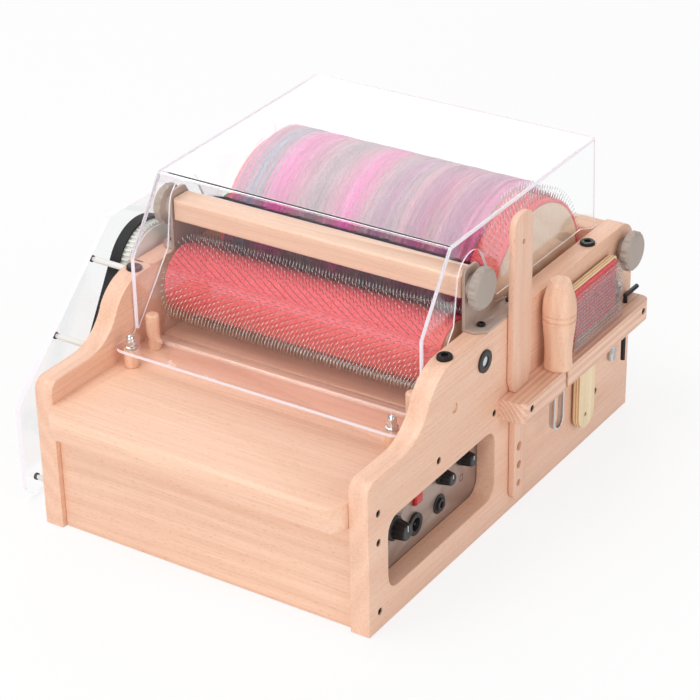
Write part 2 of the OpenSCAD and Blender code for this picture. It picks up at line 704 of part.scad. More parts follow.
// rack cut for the stick, the doffer's loop and its kerf, the brush handle, the spanner and the key
module tool_rack() color(beech) difference() {
    translate([0, 0, rack_top - rack_h]) linear_extrude(rack_h) polygon(round_loop(
        [[half_out, rack_y[0]], [half_out + rack_w, rack_y[0]], [half_out + rack_w, rack_y[1]], [half_out, rack_y[1]]],
        [0, rack_corner_r, rack_corner_r, 0]));
    rack_slot(half_out - 1, stick_x + stick_t + 0.5, stick_c - tang_half - 0.5, stick_c + tang_half + 0.5);
    rack_slot(doffer_c.x - loop_w / 2 - 0.5, doffer_c.x + loop_w / 2 + 0.5, doffer_c.y - loop_half - 0.6, doffer_c.y + loop_half + 0.6);
    rack_slot(doffer_c.x, half_out + rack_w + 1, doffer_c.y - 2.5, doffer_c.y + 2.5);
    rack_slot(half_out - 1, paddle_x + paddle_t + 0.5, handle_c - handle_half - 0.5, handle_c + handle_half + 0.5);
    rack_slot(half_out - 1, half_out + spanner_t + 1, spanner_c - spanner_half - 0.5, spanner_c + spanner_half + 0.5);
    translate([key_c.x, key_c.y, rack_top - rack_h - 1]) cylinder(h = rack_h + 2, r = key_r + gap);
    for (y = rack_screw_y) {
        rod_x(half_out - 1, half_out + rack_w, screw_r + fit, y, rack_screw_z);
        rod_x(half_out + rack_w - 5, half_out + rack_w + 1, screw_head_r + fit, y, rack_screw_z);
    }
}

module rack_slot(x0, x1, y0, y1) translate([x0, y0, rack_top - rack_h - 1]) cube([x1 - x0, y1 - y0, rack_h + 2]);

// drum: wooden shell and ends, wire cloth, batt, shaft
module drum_shell() color(pale_wood) ring_x(-roller_w / 2 + end_t, roller_w / 2 - end_t, drum_core, drum_core - shell_t, drum_y, axle_z);

module drum_ends() color(pale_wood) both_sides() difference() {
    union() {
        rod_x(roller_w / 2 - end_t, roller_w / 2, drum_core, drum_y, axle_z);
        rod_x(roller_w / 2 - end_t - 8, roller_w / 2 - end_t, drum_core - shell_t - gap, drum_y, axle_z);
    }
    rod_x(roller_w / 2 - end_t - 9, roller_w / 2 + 1, shaft_r, drum_y, axle_z);
}

// angles of the ring points in one pitch: a wire's two sides, and the same half a pitch on
function ring_a(j, n, w) = 360 * floor(j / 4) / n + [0, w, 180 / n, 180 / n + w][j % 4];

// sleeve of cloth with pyramid wires: cells along xs, n wires a row, rows staggered by half a pitch
module wire_sleeve(xs, n, base, bore, tip, lean) {
    w = wire_w / base * 180 / PI;
    rings = len(xs);
    m = 4 * n;
    cols = rings - 1;
    outer = [for (x = xs) for (j = [0:m - 1]) [x, base * cos(ring_a(j, n, w)), base * sin(ring_a(j, n, w))]];
    core = [for (x = [xs[0], xs[cols]]) for (j = [0:m - 1]) [x, bore * cos(ring_a(j, n, w)), bore * sin(ring_a(j, n, w))]];
    tips = [
        for (c = [1:2:cols - 1]) for (k = [0:n - 1])
            let (j = 4 * k + (((c - 1) / 2) % 2 == 0 ? 0 : 2), a = ring_a(j, n, w) + w / 2 + lean)
            [(xs[c] + xs[c + 1]) / 2, tip * cos(a), tip * sin(a)]
    ];
    o = function (c, j) c * m + j % m;
    i = function (c, j) (rings + c) * m + j % m;
    t = function (c, j) (rings + 2) * m + (c - 1) / 2 * n + floor(j / 4);
    wire = function (c, j) c % 2 == 1 && j % 4 == (((c - 1) / 2) % 2 == 0 ? 0 : 2);
    skin = [
        for (c = [0:cols - 1]) for (j = [0:m - 1]) each !wire(c, j)
            ? [[o(c, j), o(c + 1, j), o(c + 1, j + 1), o(c, j + 1)]]
            : [
                [o(c, j), o(c + 1, j), t(c, j)], [o(c + 1, j), o(c + 1, j + 1), t(c, j)],
                [o(c + 1, j + 1), o(c, j + 1), t(c, j)], [o(c, j + 1), o(c, j), t(c, j)]
            ]
    ];
    inside = [
        for (j = [0:m - 1]) each [
            [i(0, j), i(0, j + 1), i(1, j + 1), i(1, j)],
            [o(0, j), o(0, j + 1), i(0, j + 1), i(0, j)],
            [o(cols, j + 1), o(cols, j), i(1, j), i(1, j + 1)]
        ]
    ];
    polyhedron(concat(outer, core, tips), concat(skin, inside));
}

// bore radius whose flats clear a core
function sleeve_bore(core, n, base) = (core + fit) / cos(max(wire_w / base * 90 / PI, (180 / n - wire_w / base * 180 / PI) / 2));

drum_band = [0, 5, 5 + wire_w, 16, 16 + wire_w];
drum_cells = concat([-roller_w / 2], [for (k = [4:-1:0]) roller_w / 2 - drum_band[k]]);
licker_step = roller_w / licker_rows;
licker_cells = [for (k = [0:2 * licker_rows + 1])
    k == 2 * licker_rows + 1 ? roller_w / 2
        : k == 0 ? -roller_w / 2
        : -roller_w / 2 + (floor((k - 1) / 2) + 0.5) * licker_step + (k % 2 == 1 ? -wire_w / 2 : wire_w / 2)];

module drum_cloth() color(red_cloth) translate([0, drum_y, axle_z])
    wire_sleeve(drum_cells, drum_points, drum_base, sleeve_bore(drum_core, drum_points, drum_base), drum_r, 2);

// batt wound round the drum in soft bands, as slivers lie side by side
module fibre_batt() color([0.72, 0.25, 0.45]) translate([0, drum_y, axle_z]) rotate([0, 90, 0]) rotate_extrude() polygon(concat(
    [[drum_base + fit, batt_ends[1]], [drum_base + fit, -batt_ends[0]]],
    [for (k = [0:60]) [drum_base + batt_t - 1.6 * pow(abs(cos(180 * k / 10)), 3) - (k == 0 || k == 60 ? 3 : 0), -batt_ends[0] + (batt_ends[0] + batt_ends[1]) * k / 60]]
));

module drum_shaft() color(steel) {
    rod_x(-belt_x - belt_w - 2, half_out + 1, shaft_r, drum_y, axle_z);
    both_sides() ring_x(roller_w / 2, half_in - 2, shaft_r + 4, shaft_r, drum_y, axle_z);
}

module licker_roller() color(pale_wood) ring_x(-roller_w / 2, roller_w / 2, licker_core, shaft_r, licker_y, axle_z);

module licker_cloth() color(red_cloth) translate([0, licker_y, axle_z])
    wire_sleeve(licker_cells, licker_points, licker_base, sleeve_bore(licker_core, licker_points, licker_base), licker_r, -4);

module licker_shaft() color(steel) {
    rod_x(-belt_x - belt_w - 2, half_out + 1, shaft_r, licker_y, axle_z);
    both_sides() ring_x(roller_w / 2, half_in - 2, shaft_r + 4, shaft_r, licker_y, axle_z);
}

// bar with rounded ends, grooved for the brush strip
module packer_bar() color(beech) difference() {
    intersection() {
        across(-packer_half, 2 * packer_half) polygon(round_loop(
            [[packer_y, packer_z], [packer_y + packer_d, packer_z], [packer_y + packer_d, packer_z + packer_h], [packer_y, packer_z + packer_h]],
            [3, 3, 1.5, 3]));
        translate([0, 0, packer_z - 1]) linear_extrude(packer_h + 2) polygon(round_loop(
            [[-packer_half, packer_y], [packer_half, packer_y], [packer_half, packer_y + packer_d], [-packer_half, packer_y + packer_d]],
            [4, 4, 4, 4]));
    }
    brush_frame() translate([-brush_half, -strip_in, -brush_w / 2]) cube([2 * brush_half, strip_in + strip_out, brush_w]);
    both_sides() rod_x(packer_half - 28, packer_half + 1, stud_r, packer_stud_y, packer_stud_z);
}

// frame whose Y runs along the bristles
module brush_frame() translate([0, brush_y, brush_z]) rotate([brush_a, 0, 0]) children();

module packer_bristles() color(black) brush_frame() {
    translate([-brush_half, -strip_in, -brush_w / 2]) cube([2 * brush_half, strip_in + strip_out, brush_w]);
    for (k = [0:brush_cols - 1]) for (s = [-1, 1])
        translate([(k + 0.5 + s * 0.2) * 2 * brush_half / brush_cols - brush_half, strip_out - 1, s * bristle_row])
            rotate([-90, 0, 0]) cylinder(h = bristle_len - strip_out + 1, r = bristle_r, $fn = 4);
}

module packer_studs() color(steel) both_sides() rod_x(packer_half - 28, knob_x + hub_t + knob_t - 2, stud_r, packer_stud_y, packer_stud_z);

// star knob along X: a hub and a shallow-lobed head with a bevelled face, bored for a stud
module star_knob(x0, y, z) translate([x0, y, z]) rotate([0, 90, 0]) difference() {
    union() {
        cylinder(h = hub_t, r = hub_r);
        translate([0, 0, hub_t]) rotate_extrude() polygon(concat(
            [[0, 0], [knob_r - 1, 0], [knob_r, 1], [knob_r, knob_t - knob_bevel]],
            arc([knob_r - knob_bevel - 0.8, knob_t - 0.8], 0.8, 45, 90, 2),
            [[0, knob_t]]));
    }
    for (k = [0:lobes - 1]) rotate(360 * (k + 0.5) / lobes) translate([knob_r + 2.6, 0, hub_t - 1]) cylinder(h = knob_t + 2, r = 4, $fn = 32);
    translate([0, 0, -1]) cylinder(h = hub_t + knob_t - 0.5, r = stud_r + fit);
}

module right_packer_knob() color(taupe) star_knob(knob_x, packer_stud_y, packer_stud_z);

module left_packer_knob() color(taupe) mirror([1, 0, 0]) star_knob(knob_x, packer_stud_y, packer_stud_z);

module right_rear_knob() color(taupe) star_knob(half_out + gap, rear_stud_y, rear_stud_z);

module left_rear_knob() color(taupe) mirror([1, 0, 0]) star_knob(half_out + gap, rear_stud_y, rear_stud_z);

// hood folded from one sheet, with the lip that the posts hold
module guard_hood() color(clear) difference() {
    intersection() {
        across(-guard_half, 2 * guard_half) polygon(concat(hood_line, back_to_front(hood_inner)));
        translate([0, 0, lip_z - guard_t - 1]) linear_extrude(hood_z) polygon(round_loop(
            [[-guard_half, lip_y], [guard_half, lip_y], [guard_half, back_y], [-guard_half, back_y]],
            [lip_corner_r, lip_corner_r, 0, 0]));
    }
    both_sides() translate([post_x, post_y, lip_z - guard_t - 1]) cylinder(h = guard_t + 2, r = stud_r + 0.4);
}

// cheeks under the hood, notched over the packer bar
cheek_top = [for (p = hood_inner) if (p.y > cheek_low.y) p];
cheek_outline = concat(
    [cheek_low], cheek_top, [cheek_back, [cheek_back.x - 4, cheek_back.y], [back_y - 68.5, cheek_z - 1]],
    fillet([back_y - 68.5, cheek_z - 1], [packer_y + 63.1, cheek_z], [packer_y + 39.6, cheek_z + 49.3], 4, 4),
    arc(arch_c, arch_r, 25.5, 171.6, 14),
    [cheek_foot]
);

module guard_cheeks() color(clear) both_sides() across(guard_half - guard_t, guard_t) polygon(cheek_outline);

// domed nuts on the post studs
module acorn_nuts() color(steel) both_sides() translate([post_x, post_y, lip_z]) difference() {
    union() {
        cylinder(h = 1.2, r = 6);
        translate([0, 0, 1.2]) cylinder(h = 5, r = 5, $fn = 6);
        translate([0, 0, 6.2]) rotate_extrude() polygon(concat([[0, 0], [4.3, 0]], arc([0, 2.6], 4.3, 0, 84, 8), [[0, 6.9]]));
    }
    translate([0, 0, -1]) cylinder(h = 10.3, r = stud_r + fit);
}

// stick with a rounded head, a tang through the rack and graded holes
module diz_stick() color(beech) difference() {
    across(stick_x, stick_t) translate([stick_c, 0]) polygon(concat(
        arc([0, 13 + tang_half], tang_half, 180, 360, 10),
        [[tang_half, rack_top + gap], [tang_half + 1.8, rack_top + gap], [stick_half, rack_top + 12]],
        arc([stick_half - 12, rack_top + stick_len - 12], 12, 0, 90, 6),
        arc([12 - stick_half, rack_top + stick_len - 12], 12, 90, 180, 6),
        [[-stick_half, rack_top + 12], [-tang_half - 1.8, rack_top + gap], [-tang_half, rack_top + gap]]));
    for (h = stick_holes) rod_x(stick_x - 1, stick_x + stick_t + 1, h.y, stick_c - 1.5, h.x);
    rod_x(stick_x - 1, stick_x + stick_t + 1, 2.5, stick_c, rack_top + stick_len - 28);
}

// turned handle: foot, waist, swell, two grooves and a domed end
module doffer_handle() color(pale_wood) translate([doffer_c.x, doffer_c.y, rack_top + gap]) rotate_extrude() polygon([
    [0, 0], [13.2, 0], [13.7, 1], [13.2, 8], [12.9, 16], [13.6, 28], [15, 40], [15.7, 48],
    [16, 50], [14.7, 51.2], [15.9, 52.6], [16, 55.4], [14.7, 56.8], [16, 58.2], [15.9, 63],
    [15.4, 69], [14.1, 75], [12, 82], [10.6, 87.5], [9.4, doffer_h], [0, doffer_h]
]);

// ribbon of steel bent into a loop under the handle
module doffer_blade() color(steel) across(doffer_c.x - loop_w / 2, loop_w) translate([doffer_c.y, 0]) polygon(concat(
    [[-loop_half, rack_top + gap]],
    arc([0, loop_z], loop_half, 180, 360, 16),
    [[loop_half, rack_top + gap], [loop_half - loop_t, rack_top + gap]],
    arc([0, loop_z], loop_half - loop_t, 360, 180, 16),
    [[-loop_half + loop_t, rack_top + gap]]));

// paddle with a wide head and a narrow round-ended handle
module flick_paddle() color(pale_wood) difference() {
    across(paddle_x, paddle_t) polygon(concat(
        arc([handle_c, handle_z + handle_half], handle_half, 180, 360, 12),
        round_loop([[handle_c + handle_half, rack_top + gap], [paddle_y[1], rack_top + gap], [paddle_y[1], paddle_top],
            [paddle_y[0], paddle_top], [paddle_y[0], rack_top + gap], [handle_c - handle_half, rack_top + gap]],
            [0, 4, 3, 3, 4, 0])));
    rod_x(paddle_x - 1, paddle_x + paddle_t + 1, 2.2, handle_c - 2, handle_z + 15);
}

// square of wire cloth on the paddle
module flick_pad() color(red_cloth) {
    pad_z = rack_top + 4;
    pad_w = paddle_y[1] - paddle_y[0] - 5;
    pad_h = paddle_top - pad_z - 2;
    translate([paddle_x + paddle_t, paddle_y[0] + 2.5, pad_z]) cube([pad_t, pad_w, pad_h]);
    for (i = [0:pad_cols - 1]) for (k = [0:pad_rows - 1])
        translate([paddle_x + paddle_t + 1, paddle_y[0] + 2.5 + (i + 0.5) * pad_w / pad_cols, pad_z + (k + 0.5) * pad_h / pad_rows])
            rotate([0, 90, 0]) cylinder(h = 13, r = 1.2, $fn = 3);
}

// flat spanner standing in the rack, its jaw up
module spanner() color(steel) across(half_out + 0.5, spanner_t) difference() {
    union() {
        translate([spanner_c, 0]) polygon(concat(
            arc([0, spanner_z + spanner_half], spanner_half, 180, 360, 10),
            [[spanner_half, rack_top + 4], [-spanner_half, rack_top + 4]]));
        intersection() {
            translate([spanner_c, rack_top + 13]) circle(11.5);
            translate([spanner_c - 12, rack_top + gap]) square([24, 30]);
        }
    }
    translate([spanner_c, rack_top + 15]) rotate(15) translate([-5, 0]) square([10, 14]);
    translate([spanner_c, rack_top + 15]) circle(5);
}

// bent hexagon key, its long leg in the rack
module hex_key() color(black) translate([key_c.x, key_c.y, 0]) {
    translate([0, 0, key_z]) cylinder(h = rack_top + 7 - key_z, r = key_r, $fn = 6);
    translate([0, 0, rack_top + 7]) rotate([-90, 0, 0]) cylinder(h = 25, r = key_r, $fn = 6);
    translate([0, 0, rack_top + 7]) sphere(key_r, $fn = 12);
}

left_side_panel();
right_side_panel();
left_top_bar();
right_top_bar();
front_panel();
base_board();
rear_panel();
rear_rail();
infeed_tray();
licker_tray();
wooden_pegs();
clamp_studs();
axle_bearings();
bar_bolts();
side_screws();
left_bracket();
right_bracket();
motor();
drive_belt();
idler_axle();
belt_guard();
belt_guard_standoffs();
control_plate();
control_board();
sockets();
tool_rack();
drum_shell();
drum_ends();
drum_cloth();
fibre_batt();
drum_shaft();
drum_pulley();
licker_roller();
licker_cloth();
licker_shaft();
licker_pulley();
motor_pulley();
idler_pulley();
packer_bar();
packer_bristles();
packer_studs();
left_packer_knob();
right_packer_knob();
left_rear_knob();
right_rear_knob();
guard_hood();
guard_cheeks();
acorn_nuts();
speed_knob();
direction_knob();
mode_knob();
power_button();
diz_stick();
doffer_handle();
doffer_blade();
flick_paddle();
flick_pad();
spanner();
hex_key();
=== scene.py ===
# %% [markdown]
# # An electric drum carder
# A drum carder combs wool. A small wired roller, the licker-in, takes the fibre from the tray
# and hands it to a large wired drum, where it builds up as a batt. The wooden cabinet, the
# rollers and every fastener come from the CAD model at their true size. Blender adds what CAD
# leaves plain: thousands of card wires, the wool itself, wood grain, clear sheet with bright
# edges, and eased corners that catch the light.

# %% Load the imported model
import bpy
import bmesh
import math
import numpy as np
from mathutils import Matrix, Vector


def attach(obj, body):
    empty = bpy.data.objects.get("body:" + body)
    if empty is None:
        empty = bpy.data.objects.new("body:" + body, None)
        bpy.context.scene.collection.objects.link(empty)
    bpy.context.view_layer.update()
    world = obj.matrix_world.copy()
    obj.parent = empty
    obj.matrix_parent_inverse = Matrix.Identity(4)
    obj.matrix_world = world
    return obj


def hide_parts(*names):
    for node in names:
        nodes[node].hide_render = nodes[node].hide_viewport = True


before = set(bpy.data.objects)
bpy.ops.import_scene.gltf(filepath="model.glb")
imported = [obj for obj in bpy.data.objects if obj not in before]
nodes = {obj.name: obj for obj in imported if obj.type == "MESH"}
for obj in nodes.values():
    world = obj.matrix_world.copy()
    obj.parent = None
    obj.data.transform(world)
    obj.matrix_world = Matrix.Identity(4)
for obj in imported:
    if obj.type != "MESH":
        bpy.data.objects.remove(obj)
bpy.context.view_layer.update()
print("CAD nodes:", len(nodes))

# %% [markdown]
# ## The camera
# A photograph of a box fixes its own camera: the edges of the cabinet give the direction, and
# the known depth gives the distance. The long lens keeps the perspective mild. The camera is
# built from three unit vectors, its right, its up and its view, which become the columns of a
# rotation matrix. Angles are in radians, the focal length in pixels of a 700-pixel picture.

# %% Camera
AZIMUTH, ELEVATION, ROLL = 0.58391, 0.49726, -0.0191
EYE = (1.10782, -1.66813, 1.20942)
FOCAL, PICTURE, SENSOR = 2383.0, 700, 36.0
level = np.array([math.cos(AZIMUTH), math.sin(AZIMUTH), 0.0])
ahead = np.array([-math.sin(AZIMUTH), math.cos(AZIMUTH), 0.0])
forward = math.cos(ELEVATION) * ahead - math.sin(ELEVATION) * np.array([0.0, 0.0, 1.0])
down = np.cross(forward, level)
right = math.cos(ROLL) * level - math.sin(ROLL) * down
below = math.sin(ROLL) * level + math.cos(ROLL) * down
camera_data = bpy.data.cameras.new("camera")
camera_data.sensor_width = SENSOR
camera_data.lens = FOCAL / PICTURE * SENSOR
camera_data.clip_start, camera_data.clip_end = 0.05, 50.0
camera = bpy.data.objects.new("camera", camera_data)
bpy.context.scene.collection.objects.link(camera)
turn = Matrix([[right[i], -below[i], -forward[i]] for i in range(3)]).to_4x4()
camera.matrix_world = Matrix.Translation(EYE) @ turn
bpy.context.scene.camera = camera
print("lens", round(camera_data.lens, 2), "mm")

# %% [markdown]
# ## The studio
# The object stands on a white floor in soft light. A fifth of the floor is plain diffuse white,
# which keeps the shadow. The rest is a white that only camera, gloss and glass rays see, so the
# background reads as paper white without any more light on the object. A large soft key hangs
# overhead, a second lamp lights the front and a third the right side. None of them may be
# mirrored by the guard's slanted face, or it would hide the roller. A wide lamp stands behind,
# where the guard's flat top does mirror it towards the camera and so veils the wool below it.

# %% Floor, world and lamps
# The share of the floor that seen rays find white, and the grey of the sky that lights.
FLOOR_WHITE, SKY_GREY = 0.80, 0.42


def seen_as_white(tree, glossy):
    """Mask for the rays that should see plain white: camera and transmission, and glossy if asked."""
    path = tree.nodes.new("ShaderNodeLightPath")
    mask = path.outputs["Is Camera Ray"]
    for name in ("Is Transmission Ray", "Is Glossy Ray")[:2 if glossy else 1]:
        either = tree.nodes.new("ShaderNodeMath")
        either.operation = "MAXIMUM"
        tree.links.new(mask, either.inputs[0])
        tree.links.new(path.outputs[name], either.inputs[1])
        mask = either.outputs[0]
    return mask


def studio_floor():
    """A square sheet 12 m across at z = 0: diffuse white, mostly covered by white for seen rays."""
    mesh = bpy.data.meshes.new("studio_floor")
    mesh.from_pydata([(-6, -6, 0), (6, -6, 0), (6, 6, 0), (-6, 6, 0)], [], [(0, 1, 2, 3)])
    sheet = bpy.data.objects.new("studio_floor", mesh)
    bpy.context.scene.collection.objects.link(sheet)
    paper = bpy.data.materials.new("studio_paper")
    paper.use_nodes = True
    tree = paper.node_tree
    tree.nodes.clear()
    out = tree.nodes.new("ShaderNodeOutputMaterial")
    diffuse = tree.nodes.new("ShaderNodeBsdfDiffuse")
    diffuse.inputs["Color"].default_value = (0.92, 0.92, 0.92, 1)
    glow = tree.nodes.new("ShaderNodeEmission")
    glow.inputs["Strength"].default_value = 1.0
    part = tree.nodes.new("ShaderNodeMath")
    part.operation = "MULTIPLY"
    part.inputs[1].default_value = FLOOR_WHITE
    mix = tree.nodes.new("ShaderNodeMixShader")
    tree.links.new(seen_as_white(tree, True), part.inputs[0])
    tree.links.new(part.outputs[0], mix.inputs[0])
    tree.links.new(diffuse.outputs[0], mix.inputs[1])
    tree.links.new(glow.outputs[0], mix.inputs[2])
    tree.links.new(mix.outputs[0], out.inputs["Surface"])
    mesh.materials.append(paper)


def studio_world():
    """A grey sky that lights and is mirrored, and a white one for the rays that are seen."""
    world = bpy.data.worlds.new("studio")
    world.use_nodes = True
    tree = world.node_tree
    tree.nodes.clear()
    out = tree.nodes.new("ShaderNodeOutputWorld")
    soft = tree.nodes.new("ShaderNodeBackground")
    soft.inputs["Color"].default_value = (SKY_GREY, SKY_GREY, SKY_GREY, 1)
    white = tree.nodes.new("ShaderNodeBackground")
    mix = tree.nodes.new("ShaderNodeMixShader")
    tree.links.new(seen_as_white(tree, False), mix.inputs[0])
    tree.links.new(soft.outputs[0], mix.inputs[1])
    tree.links.new(white.outputs[0], mix.inputs[2])
    tree.links.new(mix.outputs[0], out.inputs["Surface"])
    bpy.context.scene.world = world


def soft_lamp(name, place, aim, size, power):
    """An area lamp of the given size in metres, turned to face a point."""
    data = bpy.data.lights.new(name, "AREA")
    data.size, data.energy = size, power
    lamp = bpy.data.objects.new(name, data)
    bpy.context.scene.collection.objects.link(lamp)
    lamp.location = place
    lamp.rotation_euler = (Vector(aim) - Vector(place)).to_track_quat("-Z", "Y").to_euler()


studio_floor()
studio_world()
soft_lamp("key", (-0.9, -1.0, 3.0), (0, 0, 0.12), 2.0, 47)
soft_lamp("front", (0.5, -2.9, 1.0), (0, 0, 0.12), 2.2, 29)
soft_lamp("side", (2.8, -0.3, 1.5), (0, 0, 0.12), 2.0, 22)
soft_lamp("back", (-1.5, 2.3, 1.8), (0, 0, 0.15), 2.4, 23)
bpy.context.scene.view_settings.view_transform = "Standard"

# %% [markdown]
# ## Colours and plain finishes
# Colours are read as screen values from 0 to 255 and turned into linear light, which is what a
# shader takes. Most small parts need only a Principled shader with a little uneven gloss, so
# one function builds them. The unevenness is a noise on Object coordinates that moves the
# roughness and the bump, at a scale given in wrinkles per metre.

# %% Finishes
def tone(r, g, b):
    """Linear colour of a screen colour: c/12.92 near black, ((c + 0.055) / 1.055)^2.4 above."""
    c = np.array([r, g, b], float) / 255
    linear = np.where(c <= 0.04045, c / 12.92, ((c + 0.055) / 1.055) ** 2.4)
    return (*(float(v) for v in linear), 1.0)


def add(tree, kind, **values):
    """A new shader node with some of its settings and inputs filled in."""
    made = tree.nodes.new(kind)
    for key, value in values.items():
        name = key.replace("_", " ")
        if hasattr(made, key) and not (name in made.inputs):
            setattr(made, key, value)
        else:
            made.inputs[name].default_value = value
    return made


def new_group(name, inputs, outputs):
    """An empty shader node group with sockets given as a dictionary of name and kind."""
    group = bpy.data.node_groups.new(name, "ShaderNodeTree")
    for way, sockets in (("INPUT", inputs), ("OUTPUT", outputs)):
        for socket, kind in sockets.items():
            group.interface.new_socket(socket, in_out=way, socket_type="NodeSocket" + kind)
    return group, add(group, "NodeGroupInput"), add(group, "NodeGroupOutput")


def new_material(name):
    """A material with its node tree and its Principled shader."""
    material = bpy.data.materials.new(name)
    material.use_nodes = True
    return material, material.node_tree, material.node_tree.nodes["Principled BSDF"]


def uneven_group():
    """Group: noise at Scale gives a Roughness of Base plus or minus Spread, and a Height."""
    group, source, sink = new_group("uneven", {"Vector": "Vector", "Scale": "Float", "Base": "Float",
                                               "Spread": "Float"}, {"Roughness": "Float", "Height": "Float"})
    noise = add(group, "ShaderNodeTexNoise", Detail=4.0, Roughness=0.6)
    swing = add(group, "ShaderNodeMath", operation="MULTIPLY_ADD")
    centre = add(group, "ShaderNodeMath", operation="SUBTRACT")
    centre.inputs[1].default_value = 0.5
    group.links.new(source.outputs["Vector"], noise.inputs["Vector"])
    group.links.new(source.outputs["Scale"], noise.inputs["Scale"])
    group.links.new(noise.outputs["Fac"], centre.inputs[0])
    group.links.new(centre.outputs[0], swing.inputs[0])
    group.links.new(source.outputs["Spread"], swing.inputs[1])
    group.links.new(source.outputs["Base"], swing.inputs[2])
    group.links.new(swing.outputs[0], sink.inputs["Roughness"])
    group.links.new(noise.outputs["Fac"], sink.inputs["Height"])
    return group


UNEVEN = uneven_group()


def finish(name, colour, roughness, metallic=0.0, scale=400.0, spread=0.25, bump=0.15, depth=0.0002,
           **sockets):
    """A Principled material whose roughness and bump come from the uneven group."""
    material, tree, shader = new_material(name)
    shader.inputs["Base Color"].default_value = colour
    shader.inputs["Metallic"].default_value = metallic
    for key, value in sockets.items():
        shader.inputs[key.replace("_", " ")].default_value = value
    place = add(tree, "ShaderNodeTexCoord")
    group = add(tree, "ShaderNodeGroup", node_tree=UNEVEN)
    group.inputs["Scale"].default_value = scale
    group.inputs["Base"].default_value = roughness
    group.inputs["Spread"].default_value = spread
    relief = add(tree, "ShaderNodeBump", Strength=bump, Distance=depth)
    tree.links.new(place.outputs["Object"], group.inputs["Vector"])
    tree.links.new(group.outputs["Roughness"], shader.inputs["Roughness"])
    tree.links.new(group.outputs["Height"], relief.inputs["Height"])
    tree.links.new(relief.outputs["Normal"], shader.inputs["Normal"])
    return material


# %% [markdown]
# ## Beech
# Steamed beech is pale and pinkish, with soft growth rings and thousands of short dark flecks
# that lie along the grain. One node group makes it from Object coordinates: the rings are a
# sine of the distance from an imaginary pith, bent by noise, and the flecks are a noise that is
# stretched along the grain and cut off high. A Mapping node turns each board so that the grain
# runs along its length, so end grain comes out as curved rings without any more work.

# %% Wood grain group
def grain_group():
    """Rings = sin(k |(x, y)| + noise); streaks and flecks = noise of (x, y, z / stretch)."""
    group, source, sink = new_group("beech_grain", {"Vector": "Vector", "Light": "Color", "Dark": "Color",
                                                    "Rings": "Float", "Bands": "Float", "Flecks": "Float"},
                                    {"Color": "Color", "Roughness": "Float", "Height": "Float"})
    link = group.links.new

    def stretched(x, y, z):
        scaled = add(group, "ShaderNodeVectorMath", operation="MULTIPLY")
        scaled.inputs[1].default_value = (x, y, z)
        link(source.outputs["Vector"], scaled.inputs[0])
        return scaled.outputs[0]

    drift = add(group, "ShaderNodeTexNoise", Scale=1.0, Detail=3.0)
    link(stretched(9, 9, 1.6), drift.inputs["Vector"])
    radius = add(group, "ShaderNodeVectorMath", operation="LENGTH")
    link(stretched(1, 1, 0.0), radius.inputs[0])
    spacing = add(group, "ShaderNodeMath", operation="MULTIPLY")
    link(radius.outputs["Value"], spacing.inputs[0])
    link(source.outputs["Rings"], spacing.inputs[1])
    bent = add(group, "ShaderNodeMath", operation="MULTIPLY_ADD")
    bent.inputs[1].default_value = 22.0
    link(drift.outputs["Fac"], bent.inputs[0])
    link(spacing.outputs[0], bent.inputs[2])
    ring = add(group, "ShaderNodeMath", operation="SINE")
    link(bent.outputs[0], ring.inputs[0])
    streak = add(group, "ShaderNodeTexNoise", Scale=1.0, Detail=6.0, Roughness=0.65)
    link(stretched(420, 420, 9), streak.inputs["Vector"])
    fleck = add(group, "ShaderNodeTexNoise", Scale=1.0, Detail=1.0)
    link(stretched(1500, 1500, 210), fleck.inputs["Vector"])
    cut = add(group, "ShaderNodeMapRange", From_Min=0.62, From_Max=0.76)
    link(fleck.outputs["Fac"], cut.inputs["Value"])
    shade = add(group, "ShaderNodeMath", operation="MULTIPLY_ADD")
    link(source.outputs["Bands"], shade.inputs[1])
    link(ring.outputs[0], shade.inputs[0])
    link(streak.outputs["Fac"], shade.inputs[2])
    spread = add(group, "ShaderNodeMapRange", From_Min=0.22, From_Max=0.80)
    link(shade.outputs[0], spread.inputs["Value"])
    body = add(group, "ShaderNodeMix", data_type="RGBA")
    link(spread.outputs[0], body.inputs["Factor"])
    link(source.outputs["Light"], body.inputs[6])
    link(source.outputs["Dark"], body.inputs[7])
    dark_fleck = add(group, "ShaderNodeMix", data_type="RGBA", blend_type="MULTIPLY")
    weight = add(group, "ShaderNodeMath", operation="MULTIPLY")
    link(cut.outputs[0], weight.inputs[0])
    link(source.outputs["Flecks"], weight.inputs[1])
    link(weight.outputs[0], dark_fleck.inputs["Factor"])
    link(body.outputs[2], dark_fleck.inputs[6])
    dark_fleck.inputs[7].default_value = (0.62, 0.42, 0.30, 1)
    link(dark_fleck.outputs[2], sink.inputs["Color"])
    gloss = add(group, "ShaderNodeMapRange", To_Min=0.38, To_Max=0.56)
    link(streak.outputs["Fac"], gloss.inputs["Value"])
    link(gloss.outputs[0], sink.inputs["Roughness"])
    pit = add(group, "ShaderNodeMath", operation="MULTIPLY_ADD")
    pit.inputs[1].default_value = -0.6
    link(cut.outputs[0], pit.inputs[0])
    link(streak.outputs["Fac"], pit.inputs[2])
    link(pit.outputs[0], sink.inputs["Height"])
    return group


GRAIN = grain_group()
FLECKS = 0.5
ALONG = {"X": (0, math.radians(90), 0), "Y": (math.radians(90), 0, 0), "Z": (0, 0, 0)}


